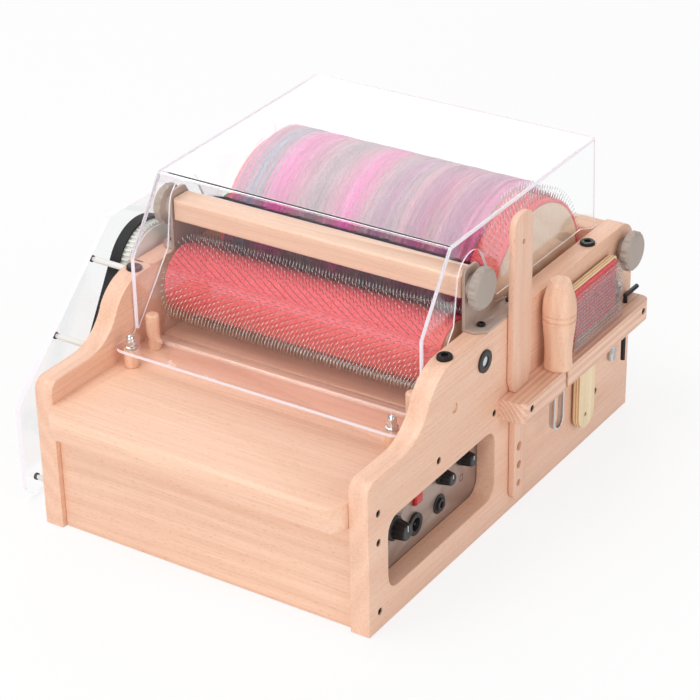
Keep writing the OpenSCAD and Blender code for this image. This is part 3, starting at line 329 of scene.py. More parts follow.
def beech(name, along, light, dark, pith=(0.11, 0.17, 0), rings=330.0, bands=0.09):
    """Beech whose grain runs along X, Y or Z, with its pith beside the board."""
    material, tree, shader = new_material(name)
    shader.inputs["Coat Weight"].default_value = 0.12
    shader.inputs["Coat Roughness"].default_value = 0.25
    place = add(tree, "ShaderNodeTexCoord")
    turned = add(tree, "ShaderNodeMapping")
    turned.inputs["Rotation"].default_value = ALONG[along]
    turned.inputs["Location"].default_value = pith
    group = add(tree, "ShaderNodeGroup", node_tree=GRAIN)
    for socket, value in (("Light", light), ("Dark", dark), ("Rings", rings), ("Bands", bands), ("Flecks", FLECKS)):
        group.inputs[socket].default_value = value
    relief = add(tree, "ShaderNodeBump", Strength=0.12, Distance=0.0003)
    tree.links.new(place.outputs["Object"], turned.inputs["Vector"])
    tree.links.new(turned.outputs[0], group.inputs["Vector"])
    tree.links.new(group.outputs["Color"], shader.inputs["Base Color"])
    tree.links.new(group.outputs["Roughness"], shader.inputs["Roughness"])
    tree.links.new(group.outputs["Height"], relief.inputs["Height"])
    tree.links.new(relief.outputs["Normal"], shader.inputs["Normal"])
    return material


beech_y = beech("beech_along_y", "Y", tone(248, 207, 182), tone(230, 180, 150))
beech_x = beech("beech_along_x", "X", tone(250, 210, 184), tone(232, 184, 154), pith=(0.07, 0.24, 0))
beech_z = beech("beech_along_z", "Z", tone(246, 204, 180), tone(230, 182, 154), pith=(0.02, 0.31, 0))
beech_end = beech("beech_with_bold_rings", "Y", tone(247, 206, 182), tone(222, 172, 144), pith=(-0.16, 0.10, 0),
                  rings=1500, bands=0.20)
turned_wood = beech("turned_wood", "Z", tone(247, 206, 178), tone(230, 182, 152), pith=(-0.17, -0.05, 0),
                    rings=700, bands=0.12)
pale_rollers = beech("pale_rollers", "X", tone(240, 214, 190), tone(220, 184, 152), pith=(0.02, 0.03, 0))


# A light ply and a dark ply together, in metres.
PLY_PAIR = 0.0028


def plywood():
    """Five plies across X, light and dark in turn, under a fine grain that runs up the paddle."""
    material = beech("plywood", "Z", tone(250, 232, 196), tone(236, 210, 166), pith=(0.4, 0.0, 0), rings=900)
    tree = material.node_tree
    place = add(tree, "ShaderNodeTexCoord")
    split = add(tree, "ShaderNodeSeparateXYZ")
    tree.links.new(place.outputs["Object"], split.inputs[0])
    plies = add(tree, "ShaderNodeMath", operation="MULTIPLY_ADD")
    plies.inputs[1].default_value, plies.inputs[2].default_value = 2 * math.pi / PLY_PAIR, -0.9
    tree.links.new(split.outputs["X"], plies.inputs[0])
    wave = add(tree, "ShaderNodeMath", operation="SINE")
    tree.links.new(plies.outputs[0], wave.inputs[0])
    step = add(tree, "ShaderNodeMapRange", From_Min=-0.25, From_Max=0.25)
    tree.links.new(wave.outputs[0], step.inputs["Value"])
    shader = tree.nodes["Principled BSDF"]
    grain = shader.inputs["Base Color"].links[0].from_socket
    dark = add(tree, "ShaderNodeMix", data_type="RGBA", blend_type="MULTIPLY", Factor=0.8)
    tree.links.new(grain, dark.inputs[6])
    dark.inputs[7].default_value = (0.70, 0.48, 0.34, 1)
    mix = add(tree, "ShaderNodeMix", data_type="RGBA")
    tree.links.new(step.outputs[0], mix.inputs["Factor"])
    tree.links.new(grain, mix.inputs[6])
    tree.links.new(dark.outputs[2], mix.inputs[7])
    tree.links.new(mix.outputs[2], shader.inputs["Base Color"])
    return material


# %% [markdown]
# ## Eased edges
# A CAD solid has knife edges, and real wood never does: every long edge here was run over with
# a router. A copy of the CAD mesh is merged and its flat faces joined. The edges that meet
# sharply get a bevel weight, apart from those round screw holes, and a live Bevel modifier
# rounds them. Hardened normals keep the flat faces flat.

# %% Rounding a copy of a CAD part
# Degrees between faces: edges above SHARP are eased, edges below SMOOTH are shaded as curved.
SHARP, SMOOTH = 50, 32


def eased(node, width, material, body, segments=3, holes=(), split=None):
    """A copy of the node, its sharp edges rounded by width, except within r of an axis in holes.
    holes holds (y, z, r) for axes along X, in metres. Edges in the plane z = split get a fifth of
    the width."""
    mesh = nodes[node].data.copy()
    mesh.name = node + "_eased"
    shell = bmesh.new()
    shell.from_mesh(mesh)
    bmesh.ops.remove_doubles(shell, verts=shell.verts, dist=2e-6)
    if width > 0:
        bmesh.ops.dissolve_limit(shell, angle_limit=math.radians(0.6), verts=shell.verts, edges=shell.edges)
    middle = np.array([(e.verts[0].co + e.verts[1].co) / 2 for e in shell.edges]).reshape(-1, 3)
    angle = np.array([e.calc_face_angle(0.0) for e in shell.edges])
    chosen = angle > math.radians(SHARP)
    for y, z, r in holes:
        chosen &= np.hypot(middle[:, 1] - y, middle[:, 2] - z) > r
    share = chosen.astype(float)
    if split is not None:
        share[np.abs(middle[:, 2] - split) < 0.0002] *= 0.2
    layers = shell.edges.layers.float
    weights = layers.get("bevel_weight_edge") or layers.new("bevel_weight_edge")
    for edge, amount in zip(shell.edges, share):
        edge[weights] = float(amount)
        edge.smooth = (amount > 0 and width > 0) or edge.calc_face_angle(0.0) < math.radians(SMOOTH)
    for face in shell.faces:
        face.smooth = True
    shell.to_mesh(mesh)
    shell.free()
    mesh.materials.clear()
    mesh.materials.append(material)
    piece = bpy.data.objects.new(node + "_eased", mesh)
    bpy.context.scene.collection.objects.link(piece)
    if width > 0:
        bevel = piece.modifiers.new("rounded", "BEVEL")
        bevel.limit_method = "WEIGHT"
        bevel.width, bevel.segments = width, segments
        bevel.harden_normals = True
        bevel.miter_outer = "MITER_ARC"
    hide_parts(node)
    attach(piece, body)
    return piece


LICKER, DRUM, AXLE = -0.048, 0.097, 0.1845
SCREWS = [(-0.226, 0.120, 0.008), (-0.226, 0.0905, 0.008), (-0.225, 0.019, 0.008), (-0.126, 0.121, 0.008),
          (-0.028, 0.121, 0.008), (0.1727, 0.047, 0.008), (-0.0987, 0.161, 0.009), (LICKER, AXLE, 0.0092),
          (DRUM, AXLE, 0.0092), (0.2185, AXLE, 0.0034), (-0.005, 0.1225, 0.008), (0.219, 0.1225, 0.008),
          (-0.168, 0.052, 0.016)]
for name in ("left_side_panel", "right_side_panel", "left_top_bar", "right_top_bar"):
    eased(name, 0.0034 if "panel" in name else 0.002, beech_y, "cabinet", 4, SCREWS, split=AXLE)
eased("tool_rack", 0.0024, beech_end, "cabinet", 3, SCREWS)
eased("infeed_tray", 0.0012, beech_x, "cabinet", 2)
for name in ("front_panel", "rear_panel", "licker_tray", "rear_rail", "base_board"):
    eased(name, 0.0012, beech_x, "cabinet", 2, SCREWS)
eased("packer_bar", 0.0022, beech_x, "packer", 3, [(-0.04, 0.252, 0.006), (-0.025, 0.258, 0.009)])
eased("diz_stick", 0.0014, beech_z, "diz", 3)
eased("flick_paddle", 0.0, plywood(), "flick_brush")
eased("doffer_handle", 0.0, turned_wood, "doffer")
eased("wooden_pegs", 0.0008, turned_wood, "cabinet", 2)

# %% Metal and plastic finishes
black_plastic = finish("black_plastic", tone(30, 30, 32), 0.42, scale=900)
black_oxide = finish("black_oxide", tone(34, 34, 36), 0.36, metallic=0.4, scale=700)
taupe_plastic = finish("taupe_plastic", tone(172, 158, 148), 0.46, scale=1200, bump=0.3)
bracket_paint = finish("bracket_paint", tone(186, 164, 152), 0.40, metallic=0.2, scale=1500, bump=0.25)
bright_steel = finish("bright_steel", tone(205, 206, 208), 0.24, metallic=1.0, scale=1800, spread=0.15, bump=0.1)
chrome = finish("chrome", tone(226, 226, 228), 0.08, metallic=1.0, scale=300, spread=0.06, bump=0.02)
plate_metal = finish("plate_metal", tone(172, 152, 142), 0.40, metallic=0.55, scale=2600, bump=0.2)
belt_rubber = finish("belt_rubber", tone(26, 26, 28), 0.62, scale=1500, bump=0.4)
pulley_white = finish("pulley_white", tone(226, 226, 220), 0.42, scale=800)
motor_paint = finish("motor_paint", tone(58, 58, 62), 0.40, metallic=0.5, scale=900)
board_green = finish("board_green", tone(24, 92, 60), 0.38, scale=900)
button_red = finish("button_red", tone(196, 34, 38), 0.30, scale=500, spread=0.1, bump=0.03)
for name, material, width, body in (
        ("left_bracket", bracket_paint, 0.0006, "cabinet"),
        ("right_bracket", bracket_paint, 0.0006, "cabinet"),
        ("left_packer_knob", taupe_plastic, 0.0009, "packer_knob_left"),
        ("right_packer_knob", taupe_plastic, 0.0009, "packer_knob_right"),
        ("left_rear_knob", taupe_plastic, 0.0009, "rear_knob_left"),
        ("right_rear_knob", taupe_plastic, 0.0009, "rear_knob_right"),
        ("bar_bolts", black_oxide, 0.0003, "cabinet"),
        ("side_screws", black_oxide, 0.0002, "cabinet"),
        ("axle_bearings", black_plastic, 0.0004, "cabinet"),
        ("acorn_nuts", chrome, 0.0003, "guard"),
        ("control_plate", plate_metal, 0.0003, "cabinet"),
        ("sockets", black_plastic, 0.0003, "cabinet"),
        ("speed_knob", black_plastic, 0.0003, "speed_control"),
        ("direction_knob", black_plastic, 0.0003, "direction_control"),
        ("mode_knob", black_plastic, 0.0003, "mode_control"),
        ("power_button", button_red, 0.0005, "power_switch"),
        ("doffer_blade", bright_steel, 0.0004, "doffer"),
        ("spanner", bright_steel, 0.0004, "wrench"),
        ("hex_key", black_oxide, 0.0, "key"),
        ("licker_pulley", pulley_white, 0.0002, "licker_in"),
        ("belt_guard_standoffs", black_oxide, 0.0003, "cabinet"),
        ("motor", motor_paint, 0.0006, "cabinet"),
        ("idler_axle", black_oxide, 0.0004, "cabinet")):
    eased(name, width, material, body, 2)

# The standoffs are pale tubes, and only their screw heads, outside the cover, are black.
HEADS_FROM = -0.2179
spacers = bpy.data.objects["belt_guard_standoffs_eased"].data
spacers.materials.append(finish("pale_nylon", tone(232, 230, 226), 0.5, scale=800))
middle = np.array([face.center.x for face in spacers.polygons])
spacers.polygons.foreach_set("material_index", (middle > HEADS_FROM).astype(np.int32))

# %% Meshes from arrays
X_AXIS = np.array([1.0, 0.0, 0.0])


def mesh_piece(name, points, faces, material, body, smooth=True, caps=()):
    """An object at the origin from an array of points, an array of faces and a list of end faces."""
    mesh = bpy.data.meshes.new(name)
    mesh.from_pydata(points.tolist(), [], faces.tolist() + list(caps))
    mesh.polygons.foreach_set("use_smooth", np.full(len(mesh.polygons), smooth))
    mesh.materials.append(material)
    mesh.update()
    piece = bpy.data.objects.new(name, mesh)
    bpy.context.scene.collection.objects.link(piece)
    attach(piece, body)
    return piece


# %% [markdown]
# ## Printed marks
# Dials need something to point at. Each mark is a thin prism on the plate: a stroke from one
# point to another in the YZ plane, given a width and pushed out a tenth of a millimetre. Strokes
# round a centre make a scale, and a chain of strokes makes a ring.

# %% Marks on the control plate and pointers on the knobs
def strokes(name, start, end, width, x0, x1, material, body):
    """Prisms from x0 to x1: corners = start and end plus or minus half the width across the stroke."""
    start, end = np.asarray(start, float), np.asarray(end, float)
    run = (end - start) / np.linalg.norm(end - start, axis=1)[:, None]
    side = np.stack([-run[:, 1], run[:, 0]], axis=1) * width / 2
    flat = np.stack([start - side, end - side, end + side, start + side], axis=1)
    low, high = (np.concatenate([np.full((*flat.shape[:2], 1), x), flat], axis=2) for x in (x0, x1))
    points = np.concatenate([low, high], axis=1).reshape(-1, 3)
    box = np.array([[0, 3, 2, 1], [4, 5, 6, 7], [0, 1, 5, 4], [1, 2, 6, 5], [2, 3, 7, 6], [3, 0, 4, 7]])
    faces = (np.arange(len(start))[:, None, None] * 8 + box[None]).reshape(-1, 4)
    mesh_piece(name, points, faces, material, body, smooth=False)


def fan(centre, inner, outer, degrees):
    """Starts and ends of strokes from the inner to the outer radius at angles from straight up."""
    a = np.radians(np.asarray(degrees, float))
    way = np.stack([np.sin(a), np.cos(a)], axis=1)
    return np.asarray(centre) + inner * way, np.asarray(centre) + outer * way


def arc_chain(centre, radius, first, last, steps):
    """Starts and ends of a chain of strokes along an arc."""
    a = np.radians(np.linspace(first, last, steps + 1))
    points = np.asarray(centre) + radius * np.stack([np.sin(a), np.cos(a)], axis=1)
    return points[:-1], points[1:]


print_ink = finish("print_ink", tone(44, 40, 42), 0.5, scale=900, bump=0.05)
pointer_white = finish("pointer_white", tone(238, 238, 234), 0.45, scale=900, bump=0.05)
# The plate's face along X, and the centres of the controls as (y, z).
PLATE = 0.1605
SPEED, DIRECTION, MODE, BUTTON = (-0.171, 0.069), (-0.091, 0.081), (-0.054, 0.082), (-0.132, 0.080)
SQUARE = np.array([(-0.0555, 0.0560), (-0.0505, 0.0560), (-0.0505, 0.0620), (-0.0555, 0.0620)])
marks = [fan(SPEED, 0.0138, 0.0162, range(-150, 151, 30)), arc_chain(SPEED, 0.0136, -150, 150, 60),
         fan(DIRECTION, 0.0098, 0.0120, (-45, 0, 45)), fan(MODE, 0.0098, 0.0120, (-30, 30)),
         fan(BUTTON, 0.0095, 0.0125, (0,)), arc_chain((BUTTON[0], BUTTON[1] + 0.0105), 0.0022, 40, 320, 16),
         (SQUARE, np.roll(SQUARE, -1, axis=0))]
start, end = (np.concatenate([pair[i] for pair in marks]) for i in (0, 1))
strokes("plate_marks", start, end, 0.0005, PLATE - 0.0001, PLATE + 0.00012, print_ink, "cabinet")
for name, centre, reach, face, body in (
        ("speed_pointer", SPEED, 0.0068, 0.1763, "speed_control"),
        ("direction_pointer", DIRECTION, 0.0048, 0.1748, "direction_control"),
        ("mode_pointer", MODE, 0.0048, 0.1748, "mode_control")):
    start, end = fan(centre, 0.0006, reach, (0,))
    strokes(name, start, end, 0.0010, face - 0.0009, face - 0.0001, pointer_white, body)

# %% Parts that keep their CAD mesh
def repaint(material, *names):
    """Puts one material on CAD nodes, whose shape is right as it is."""
    for name in names:
        nodes[name].data.materials.clear()
        nodes[name].data.materials.append(material)


repaint(bright_steel, "clamp_studs", "drum_shaft", "licker_shaft", "packer_studs", "motor_pulley", "idler_pulley",
        "drum_pulley")
repaint(belt_rubber, "drive_belt")
repaint(board_green, "control_board")
repaint(pale_rollers, "drum_shell", "drum_ends", "licker_roller")

# %% [markdown]
# ## Clear sheet
# The guard is bent from clear acrylic. Seen flat on it almost vanishes, and at a glance it
# mirrors the light. Its sawn and polished edges gather light from inside the sheet and shine
# white, which is what the eye reads as acrylic. So the broad faces get a clear shader and the
# sawn faces, picked by the way they face, a pale shader with a faint emission: a painted glow
# that stands in for that gathered light. Shadow rays pass straight through, or the wool would
# lie in the dark. A Weighted Normal modifier keeps the flats flat beside folds.

# %% Acrylic
def clear_sheet():
    """Clear Principled transmission, replaced by a Transparent shader for shadow and diffuse rays."""
    material, tree, shader = new_material("clear_sheet")
    shader.inputs["Base Color"].default_value = (0.985, 0.992, 0.995, 1)
    shader.inputs["Roughness"].default_value = 0.02
    shader.inputs["IOR"].default_value = 1.49
    shader.inputs["Transmission Weight"].default_value = 1.0
    shader.inputs["Specular IOR Level"].default_value = 0.5
    through = add(tree, "ShaderNodeBsdfTransparent")
    path = add(tree, "ShaderNodeLightPath")
    either = add(tree, "ShaderNodeMath", operation="MAXIMUM")
    mix = add(tree, "ShaderNodeMixShader")
    tree.links.new(path.outputs["Is Shadow Ray"], either.inputs[0])
    tree.links.new(path.outputs["Is Diffuse Ray"], either.inputs[1])
    tree.links.new(either.outputs[0], mix.inputs[0])
    tree.links.new(shader.outputs[0], mix.inputs[1])
    tree.links.new(through.outputs[0], mix.inputs[2])
    tree.links.new(mix.outputs[0], tree.nodes["Material Output"].inputs["Surface"])
    return material


acrylic = clear_sheet()
# The sawn faces' material: a pale colour with a faint emission, a painted glow for the light the sheet gathers.
acrylic_edge_painted_glow = finish("acrylic_edge_painted_glow", tone(226, 218, 226), 0.22, scale=200, bump=0.02, Emission_Strength=0.16,
                      Emission_Color=(1, 0.97, 1, 1))


def sheet_part(node, body, is_edge):
    """A copy of a sheet node; is_edge picks the sawn faces from arrays of normals and centres."""
    piece = eased(node, 0.0, acrylic, body)
    mesh = piece.data
    # The sawn faces take the second material and its painted glow.
    mesh.materials.append(acrylic_edge_painted_glow)
    normal, centre = np.empty(len(mesh.polygons) * 3), np.empty(len(mesh.polygons) * 3)
    mesh.polygons.foreach_get("normal", normal)
    mesh.polygons.foreach_get("center", centre)
    edges = is_edge(normal.reshape(-1, 3), centre.reshape(-1, 3))
    mesh.polygons.foreach_set("material_index", edges.astype(np.int32))
    flat = piece.modifiers.new("flat_faces_stay_flat", "WEIGHTED_NORMAL")
    flat.keep_sharp = True


def hood_edges(n, c):
    """The side edges face along X, the lip's rim stands upright in front, the back edge is behind."""
    rim = (np.abs(n[:, 2]) < 0.3) & (c[:, 1] < -0.124) & (c[:, 2] < 0.154)
    return (np.abs(n[:, 0]) > 0.9) | rim | (c[:, 1] > 0.1962)


def cut_from_flat(n, c):
    """A sheet that stands across X is sawn wherever a face turns away from X."""
    return np.abs(n[:, 0]) < 0.5


sheet_part("guard_hood", "guard", hood_edges)
sheet_part("guard_cheeks", "guard", cut_from_flat)
sheet_part("belt_guard", "cabinet", cut_from_flat)

# %% [markdown]
# ## Card clothing
# Both rollers and the flick brush wear card clothing: bent steel wires set through a red
# backing in close, staggered rows. Each wire here is three rings of three points, a foot, a
# knee and a tip, so ten thousand of them stay light. All their points are worked out at once:
# foot + outward * height + lean * sideways, plus a small ring about that line. The real cloth
# has many more wires. These are fewer and a little thicker, so that each still reads as a wire.

# %% Wires from arrays
# The scatter of feet and heights in metres, and the knee's place along a wire.
ERROR, KNEE = 0.00012, 0.55


def bent_wires(foot, out, lean, height, knee, hook, radius):
    """Rings at heights 0, knee and 1: centre = foot + height (h out + s lean), s = 0, -0.3 hook, hook."""
    side = np.cross(out, lean)
    turn = np.arange(3) * 2 * np.pi / 3
    rings = []
    for h, s, r in ((0.0, 0.0, 1.0), (knee, -0.3 * hook, 1.0), (1.0, hook, 0.55)):
        centre = foot + out * (h * height)[:, None] + lean * (s * height)[:, None]
        ring = np.cos(turn)[:, None] * side[:, None, :] + np.sin(turn)[:, None] * lean[:, None, :]
        rings.append(centre[:, None, :] + radius * r * ring)
    points = np.stack(rings, axis=1).reshape(-1, 3)
    base = (np.arange(len(foot)) * 9)[:, None, None]
    k, n = np.arange(3), (np.arange(3) + 1) % 3
    wall = np.stack([k + 3, n + 3, n, k], axis=1)
    quads = (base + np.concatenate([wall, wall + 3])[None]).reshape(-1, 4)
    return points, quads, (base + np.array([[[0, 1, 2], [8, 7, 6]]])).reshape(-1, 3)


def roller_feet(x0, x1, radius, along, around, axis_y, seed):
    """Staggered feet on a cylinder: x_i = x0 + (i + 1/2) along / 2, angle_k = (k + (i mod 2) / 2)
    around / radius, both with a normal error of 0.12 mm."""
    rng = np.random.default_rng(seed)
    rows = int((x1 - x0) / (along / 2))
    count = int(2 * np.pi * radius / around)
    x = x0 + (np.arange(rows) + 0.5) * (x1 - x0) / rows
    a = np.arange(count) * 2 * np.pi / count
    xx = np.repeat(x, count) + rng.normal(0, ERROR, rows * count)
    half_step = np.repeat((np.arange(rows) % 2) * np.pi / count, count)
    aa = np.tile(a, rows) + half_step + rng.normal(0, ERROR / radius, rows * count)
    out = np.stack([np.zeros_like(aa), np.cos(aa), np.sin(aa)], axis=1)
    foot = np.stack([xx, axis_y + radius * out[:, 1], AXLE + radius * out[:, 2]], axis=1)
    way = np.stack([np.zeros_like(aa), -np.sin(aa), np.cos(aa)], axis=1)
    return foot, out, way, rng


def wire_piece(name, foot, out, lean, height, knee, hook, radius, material, body):
    """One mesh of bent wires, each closed at its foot and its tip."""
    points, quads, ends = bent_wires(foot, out, lean, height, knee, hook, radius)
    mesh_piece(name, points, quads, material, body, caps=ends.tolist())
    print(name, len(foot), "wires")


def revolved(profile, axis_y, steps=128):
    """Surface of revolution about a roller's axis: (x, r) -> (x, r cos a, r sin a), closed round."""
    a = np.arange(steps) * 2 * np.pi / steps
    x, r = profile[:, 0], profile[:, 1]
    grid = np.stack([np.repeat(x[:, None], steps, 1), axis_y + r[:, None] * np.cos(a),
                     AXLE + r[:, None] * np.sin(a)], axis=2)
    i, j = np.meshgrid(np.arange(len(profile) - 1), np.arange(steps), indexing="ij")
    k = (j + 1) % steps
    faces = np.stack([i * steps + j, i * steps + k, (i + 1) * steps + k, (i + 1) * steps + j], axis=2).reshape(-1, 4)
    return grid.reshape(-1, 3), faces


# %% Red backing cloth
def backing():
    """Red foundation: a lighter weave-like mottle over a strong pinkish red, with fine pricks."""
    material = finish("red_backing", tone(238, 96, 104), 0.6, scale=1400, bump=0.5, depth=0.0004)
    tree = material.node_tree
    place = add(tree, "ShaderNodeTexCoord")
    cells = add(tree, "ShaderNodeTexVoronoi", Scale=340.0)
    tint = add(tree, "ShaderNodeMapRange", From_Min=0.05, From_Max=0.6)
    mix = add(tree, "ShaderNodeMix", data_type="RGBA")
    mix.inputs[6].default_value = tone(226, 70, 84)
    mix.inputs[7].default_value = tone(244, 104, 110)
    tree.links.new(place.outputs["Object"], cells.inputs["Vector"])
    tree.links.new(cells.outputs["Distance"], tint.inputs["Value"])
    tree.links.new(tint.outputs[0], mix.inputs["Factor"])
    tree.links.new(mix.outputs[2], tree.nodes["Principled BSDF"].inputs["Base Color"])
    return material


red_backing = backing()
# Half the cloth's width, and the bevel at its two outer corners.
HALF, CHAMFER = 0.15, 0.0006
for name, axis, radius, inner, body, node in (("licker_backing", LICKER, 0.033, 0.0302, "licker_in", "licker_cloth"),
                                              ("drum_backing", DRUM, 0.088, 0.0848, "drum", "drum_cloth")):
    half = [[HALF - CHAMFER, radius], [HALF, radius - CHAMFER], [HALF, inner]]
    ring = np.array([[-HALF, inner]] + [[-x, r] for x, r in half[1::-1]] + half + [[-HALF, inner]])
    points, faces = revolved(ring, axis)
    cloth = mesh_piece(name, points, faces, red_backing, body)
    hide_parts(node)

card_wire = finish("card_wire", tone(214, 210, 210), 0.22, metallic=1.0, scale=500, spread=0.1, bump=0.0)
for name, x0, radius, axis, seed, height, hook, thick, body in (
        ("licker_wires", -0.1485, 0.0328, LICKER, 3, 0.0114, 0.12, 0.00042, "licker_in"),
        ("drum_wires", 0.1215, 0.0878, DRUM, 6, 0.0109, -0.12, 0.00040, "drum")):
    foot, out, way, rng = roller_feet(x0, 0.1485, radius, 0.0110, 0.0050, axis, seed)
    heights = rng.normal(height, ERROR, len(foot))
    wire_piece(name, foot, out, way, heights, KNEE, hook, thick, card_wire, body)

# %% [markdown]
# ## The batt
# Dyed wool went on in slivers side by side, so the batt has soft stripes round the drum. A list
# of bands, in millimetres from the middle, names the dye at each place across it. The batt is a
# ring whose radius varies with fine streaks. Over it lie thousands of loose fibres, each a thin
# arc that runs nearly straight round the drum. Every fibre takes its dye from a place near its
# own, so the stripes blend as carded wool does. The dye is stored on the points and the shader
# only adds the strands.

# %% Wool colours
FLEECE = {"rose": (235, 112, 180), "magenta": (240, 72, 176), "raspberry": (220, 86, 158),
          "dusty": (202, 124, 150), "heather": (174, 136, 152), "slate": (138, 150, 180),
          "plum": (170, 76, 138), "wine": (180, 42, 116)}
BANDS = [(-145, "rose"), (-131, "dusty"), (-120, "slate"), (-112, "heather"), (-103, "rose"), (-93, "magenta"),
         (-81, "raspberry"), (-70, "dusty"), (-56, "heather"), (-44, "heather"), (-31, "dusty"), (-20, "rose"),
         (-9, "magenta"), (2, "dusty"), (13, "heather"), (25, "plum"), (37, "heather"), (49, "dusty"),
         (59, "plum"), (71, "wine"), (83, "dusty"), (96, "plum"), (111, "wine"), (122, "rose")]
# The sideways swing of the dye lookup that makes the narrow stripes, in metres.
WIGGLE, WAVELENGTH = 0.005, 0.0073


def dyed(x, rng, spread):
    """Linear colour at x across the drum, times a normal gain. It is looked up at x plus a normal
    error plus 5 mm sin(2 pi x / 7.3 mm), which splits each wide band into narrow stripes."""
    at = x + rng.normal(0, spread, x.shape) + WIGGLE * np.sin(2 * np.pi * x / WAVELENGTH)
    table = np.array([tone(*FLEECE[dye])[:3] for _, dye in BANDS])
    places = np.array([place / 1000 for place, _ in BANDS])
    gain = np.clip(rng.normal(1.0, 0.16, x.shape), 0.5, 1.6)
    colour = np.stack([np.interp(at, places, table[:, c]) for c in range(3)], axis=-1)
    return np.clip(colour * gain[..., None], 0, 0.95)


def wool():
    """Colour from the dye on the points, lit and shaded by a noise stretched round the drum."""
    material, tree, shader = new_material("wool")
    shader.inputs["Roughness"].default_value = 0.7
    shader.inputs["Sheen Weight"].default_value = 0.25
    shader.inputs["Sheen Roughness"].default_value = 0.5
    dye = add(tree, "ShaderNodeAttribute", attribute_name="dye")
    across = add(tree, "ShaderNodeAttribute", attribute_name="across")
    around = add(tree, "ShaderNodeAttribute", attribute_name="around")
    where = add(tree, "ShaderNodeCombineXYZ")
    tree.links.new(across.outputs["Fac"], where.inputs["X"])
    tree.links.new(around.outputs["Fac"], where.inputs["Y"])
    stretch = add(tree, "ShaderNodeVectorMath", operation="MULTIPLY")
    stretch.inputs[1].default_value = (4200, 10, 1)
    tree.links.new(where.outputs[0], stretch.inputs[0])
    strands = add(tree, "ShaderNodeTexNoise", Scale=1.0, Detail=4.0, Roughness=0.7)
    tree.links.new(stretch.outputs[0], strands.inputs["Vector"])
    light = add(tree, "ShaderNodeMapRange", From_Min=0.3, From_Max=0.7, To_Min=0.42, To_Max=1.32)
    tree.links.new(strands.outputs["Fac"], light.inputs["Value"])
    shade = add(tree, "ShaderNodeMix", data_type="RGBA", blend_type="MULTIPLY", Factor=1.0)
    tree.links.new(dye.outputs["Color"], shade.inputs[6])
    tree.links.new(light.outputs[0], shade.inputs[7])
    tree.links.new(shade.outputs[2], shader.inputs["Base Color"])
    relief = add(tree, "ShaderNodeBump", Strength=0.5, Distance=0.0005)
    tree.links.new(strands.outputs["Fac"], relief.inputs["Height"])
    tree.links.new(relief.outputs["Normal"], shader.inputs["Normal"])
    return material


def remember(mesh, across, around, dye):
    """Stores each point's place across and round the drum, in metres, and its dye."""
    for name, values in (("across", across), ("around", around)):
        mesh.attributes.new(name, "FLOAT", "POINT").data.foreach_set("value", values.astype(np.float32))
    colour = np.concatenate([dye, np.ones((len(dye), 1))], axis=1)
    stored = mesh.attributes.new("dye", "FLOAT_COLOR", "POINT").data
    stored.foreach_set("color", colour.astype(np.float32).ravel())


WOOL = wool()
# The batt's ends along X, the radius at which its length is counted, and its inner radius.
BATT, BATT_R, CLOTH_R = (-0.1450, 0.1220), 0.097, 0.0884

# %% Batt and loose fibres
def batt(columns=236, steps=400, seed=8):
    """Radius = 96.4 mm + bands + streaks, falling to 88.4 mm at each end, and closed along the inside."""
    rng = np.random.default_rng(seed)
    x = np.linspace(BATT[0], BATT[1], columns)
    a = np.arange(steps) * 2 * np.pi / steps
    band = 0.0004 * np.sin(x * 2 * np.pi / 0.021)[:, None]
    streak = rng.normal(0, 1, (columns, steps))
    for _ in range(40):
        streak = (np.roll(streak, 1, 1) + streak + np.roll(streak, -1, 1)) / 3
    streak /= streak.std()
    ends = np.clip(np.minimum(x - BATT[0], BATT[1] - x) / 0.006, 0, 1)[:, None] ** 0.5
    radius = CLOTH_R + (0.0080 + band + 0.0001 * streak) * ends
    xx = x[:, None] + 0.0001 * ends * streak
    grid = np.stack([xx, DRUM + radius * np.cos(a), AXLE + radius * np.sin(a)], axis=2)
    i, j = np.meshgrid(np.arange(columns), np.arange(steps), indexing="ij")
    k, m = (j + 1) % steps, (i + 1) % columns
    faces = np.stack([i * steps + j, i * steps + k, m * steps + k, m * steps + j], axis=2).reshape(-1, 4)
    piece = mesh_piece("wool_batt", grid.reshape(-1, 3), faces, WOOL, "drum")
    dye = dyed(xx + 0.0004 * streak, rng, 0.0)
    remember(piece.data, np.repeat(x, steps), np.tile(a * BATT_R, columns), dye.reshape(-1, 3))
    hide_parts("fibre_batt")


def threads(name, x, angle, radius, dye, thick, upright=False):
    """Three-sided threads through points given as arrays (fibre, step) of x, angle and radius.
    Their section lies in X and the radius, or for upright ones in X and the way round."""
    out = np.stack([np.zeros_like(angle), np.cos(angle), np.sin(angle)], axis=2)
    centre = np.stack([x, DRUM + radius * out[..., 1], AXLE + radius * out[..., 2]], axis=2)
    side = np.array([thick, 0, 0])
    way = thick * (np.cross(out, X_AXIS) if upright else out)
    rings = np.stack([centre + way, centre - side - 0.5 * way, centre + side - 0.5 * way], axis=2)
    count, points = x.shape
    f, p, s = np.meshgrid(np.arange(count), np.arange(points - 1), np.arange(3), indexing="ij")
    here, n = (f * points + p) * 3, (s + 1) % 3
    faces = np.stack([here + s, here + n, here + 3 + n, here + 3 + s], axis=3).reshape(-1, 4)
    last = points * 3 - 3
    ends = (np.arange(count) * points * 3)[:, None, None] + np.array([[0, 2, 1], [last, last + 1, last + 2]])
    piece = mesh_piece(name, rings.reshape(-1, 3), faces, WOOL, "drum", caps=ends.reshape(-1, 3).tolist())
    across, around = np.repeat(x.reshape(-1), 3), np.repeat((angle * BATT_R).reshape(-1), 3)
    remember(piece.data, across, around, np.repeat(dye, points * 3, axis=0))
    print(name, count, "fibres")


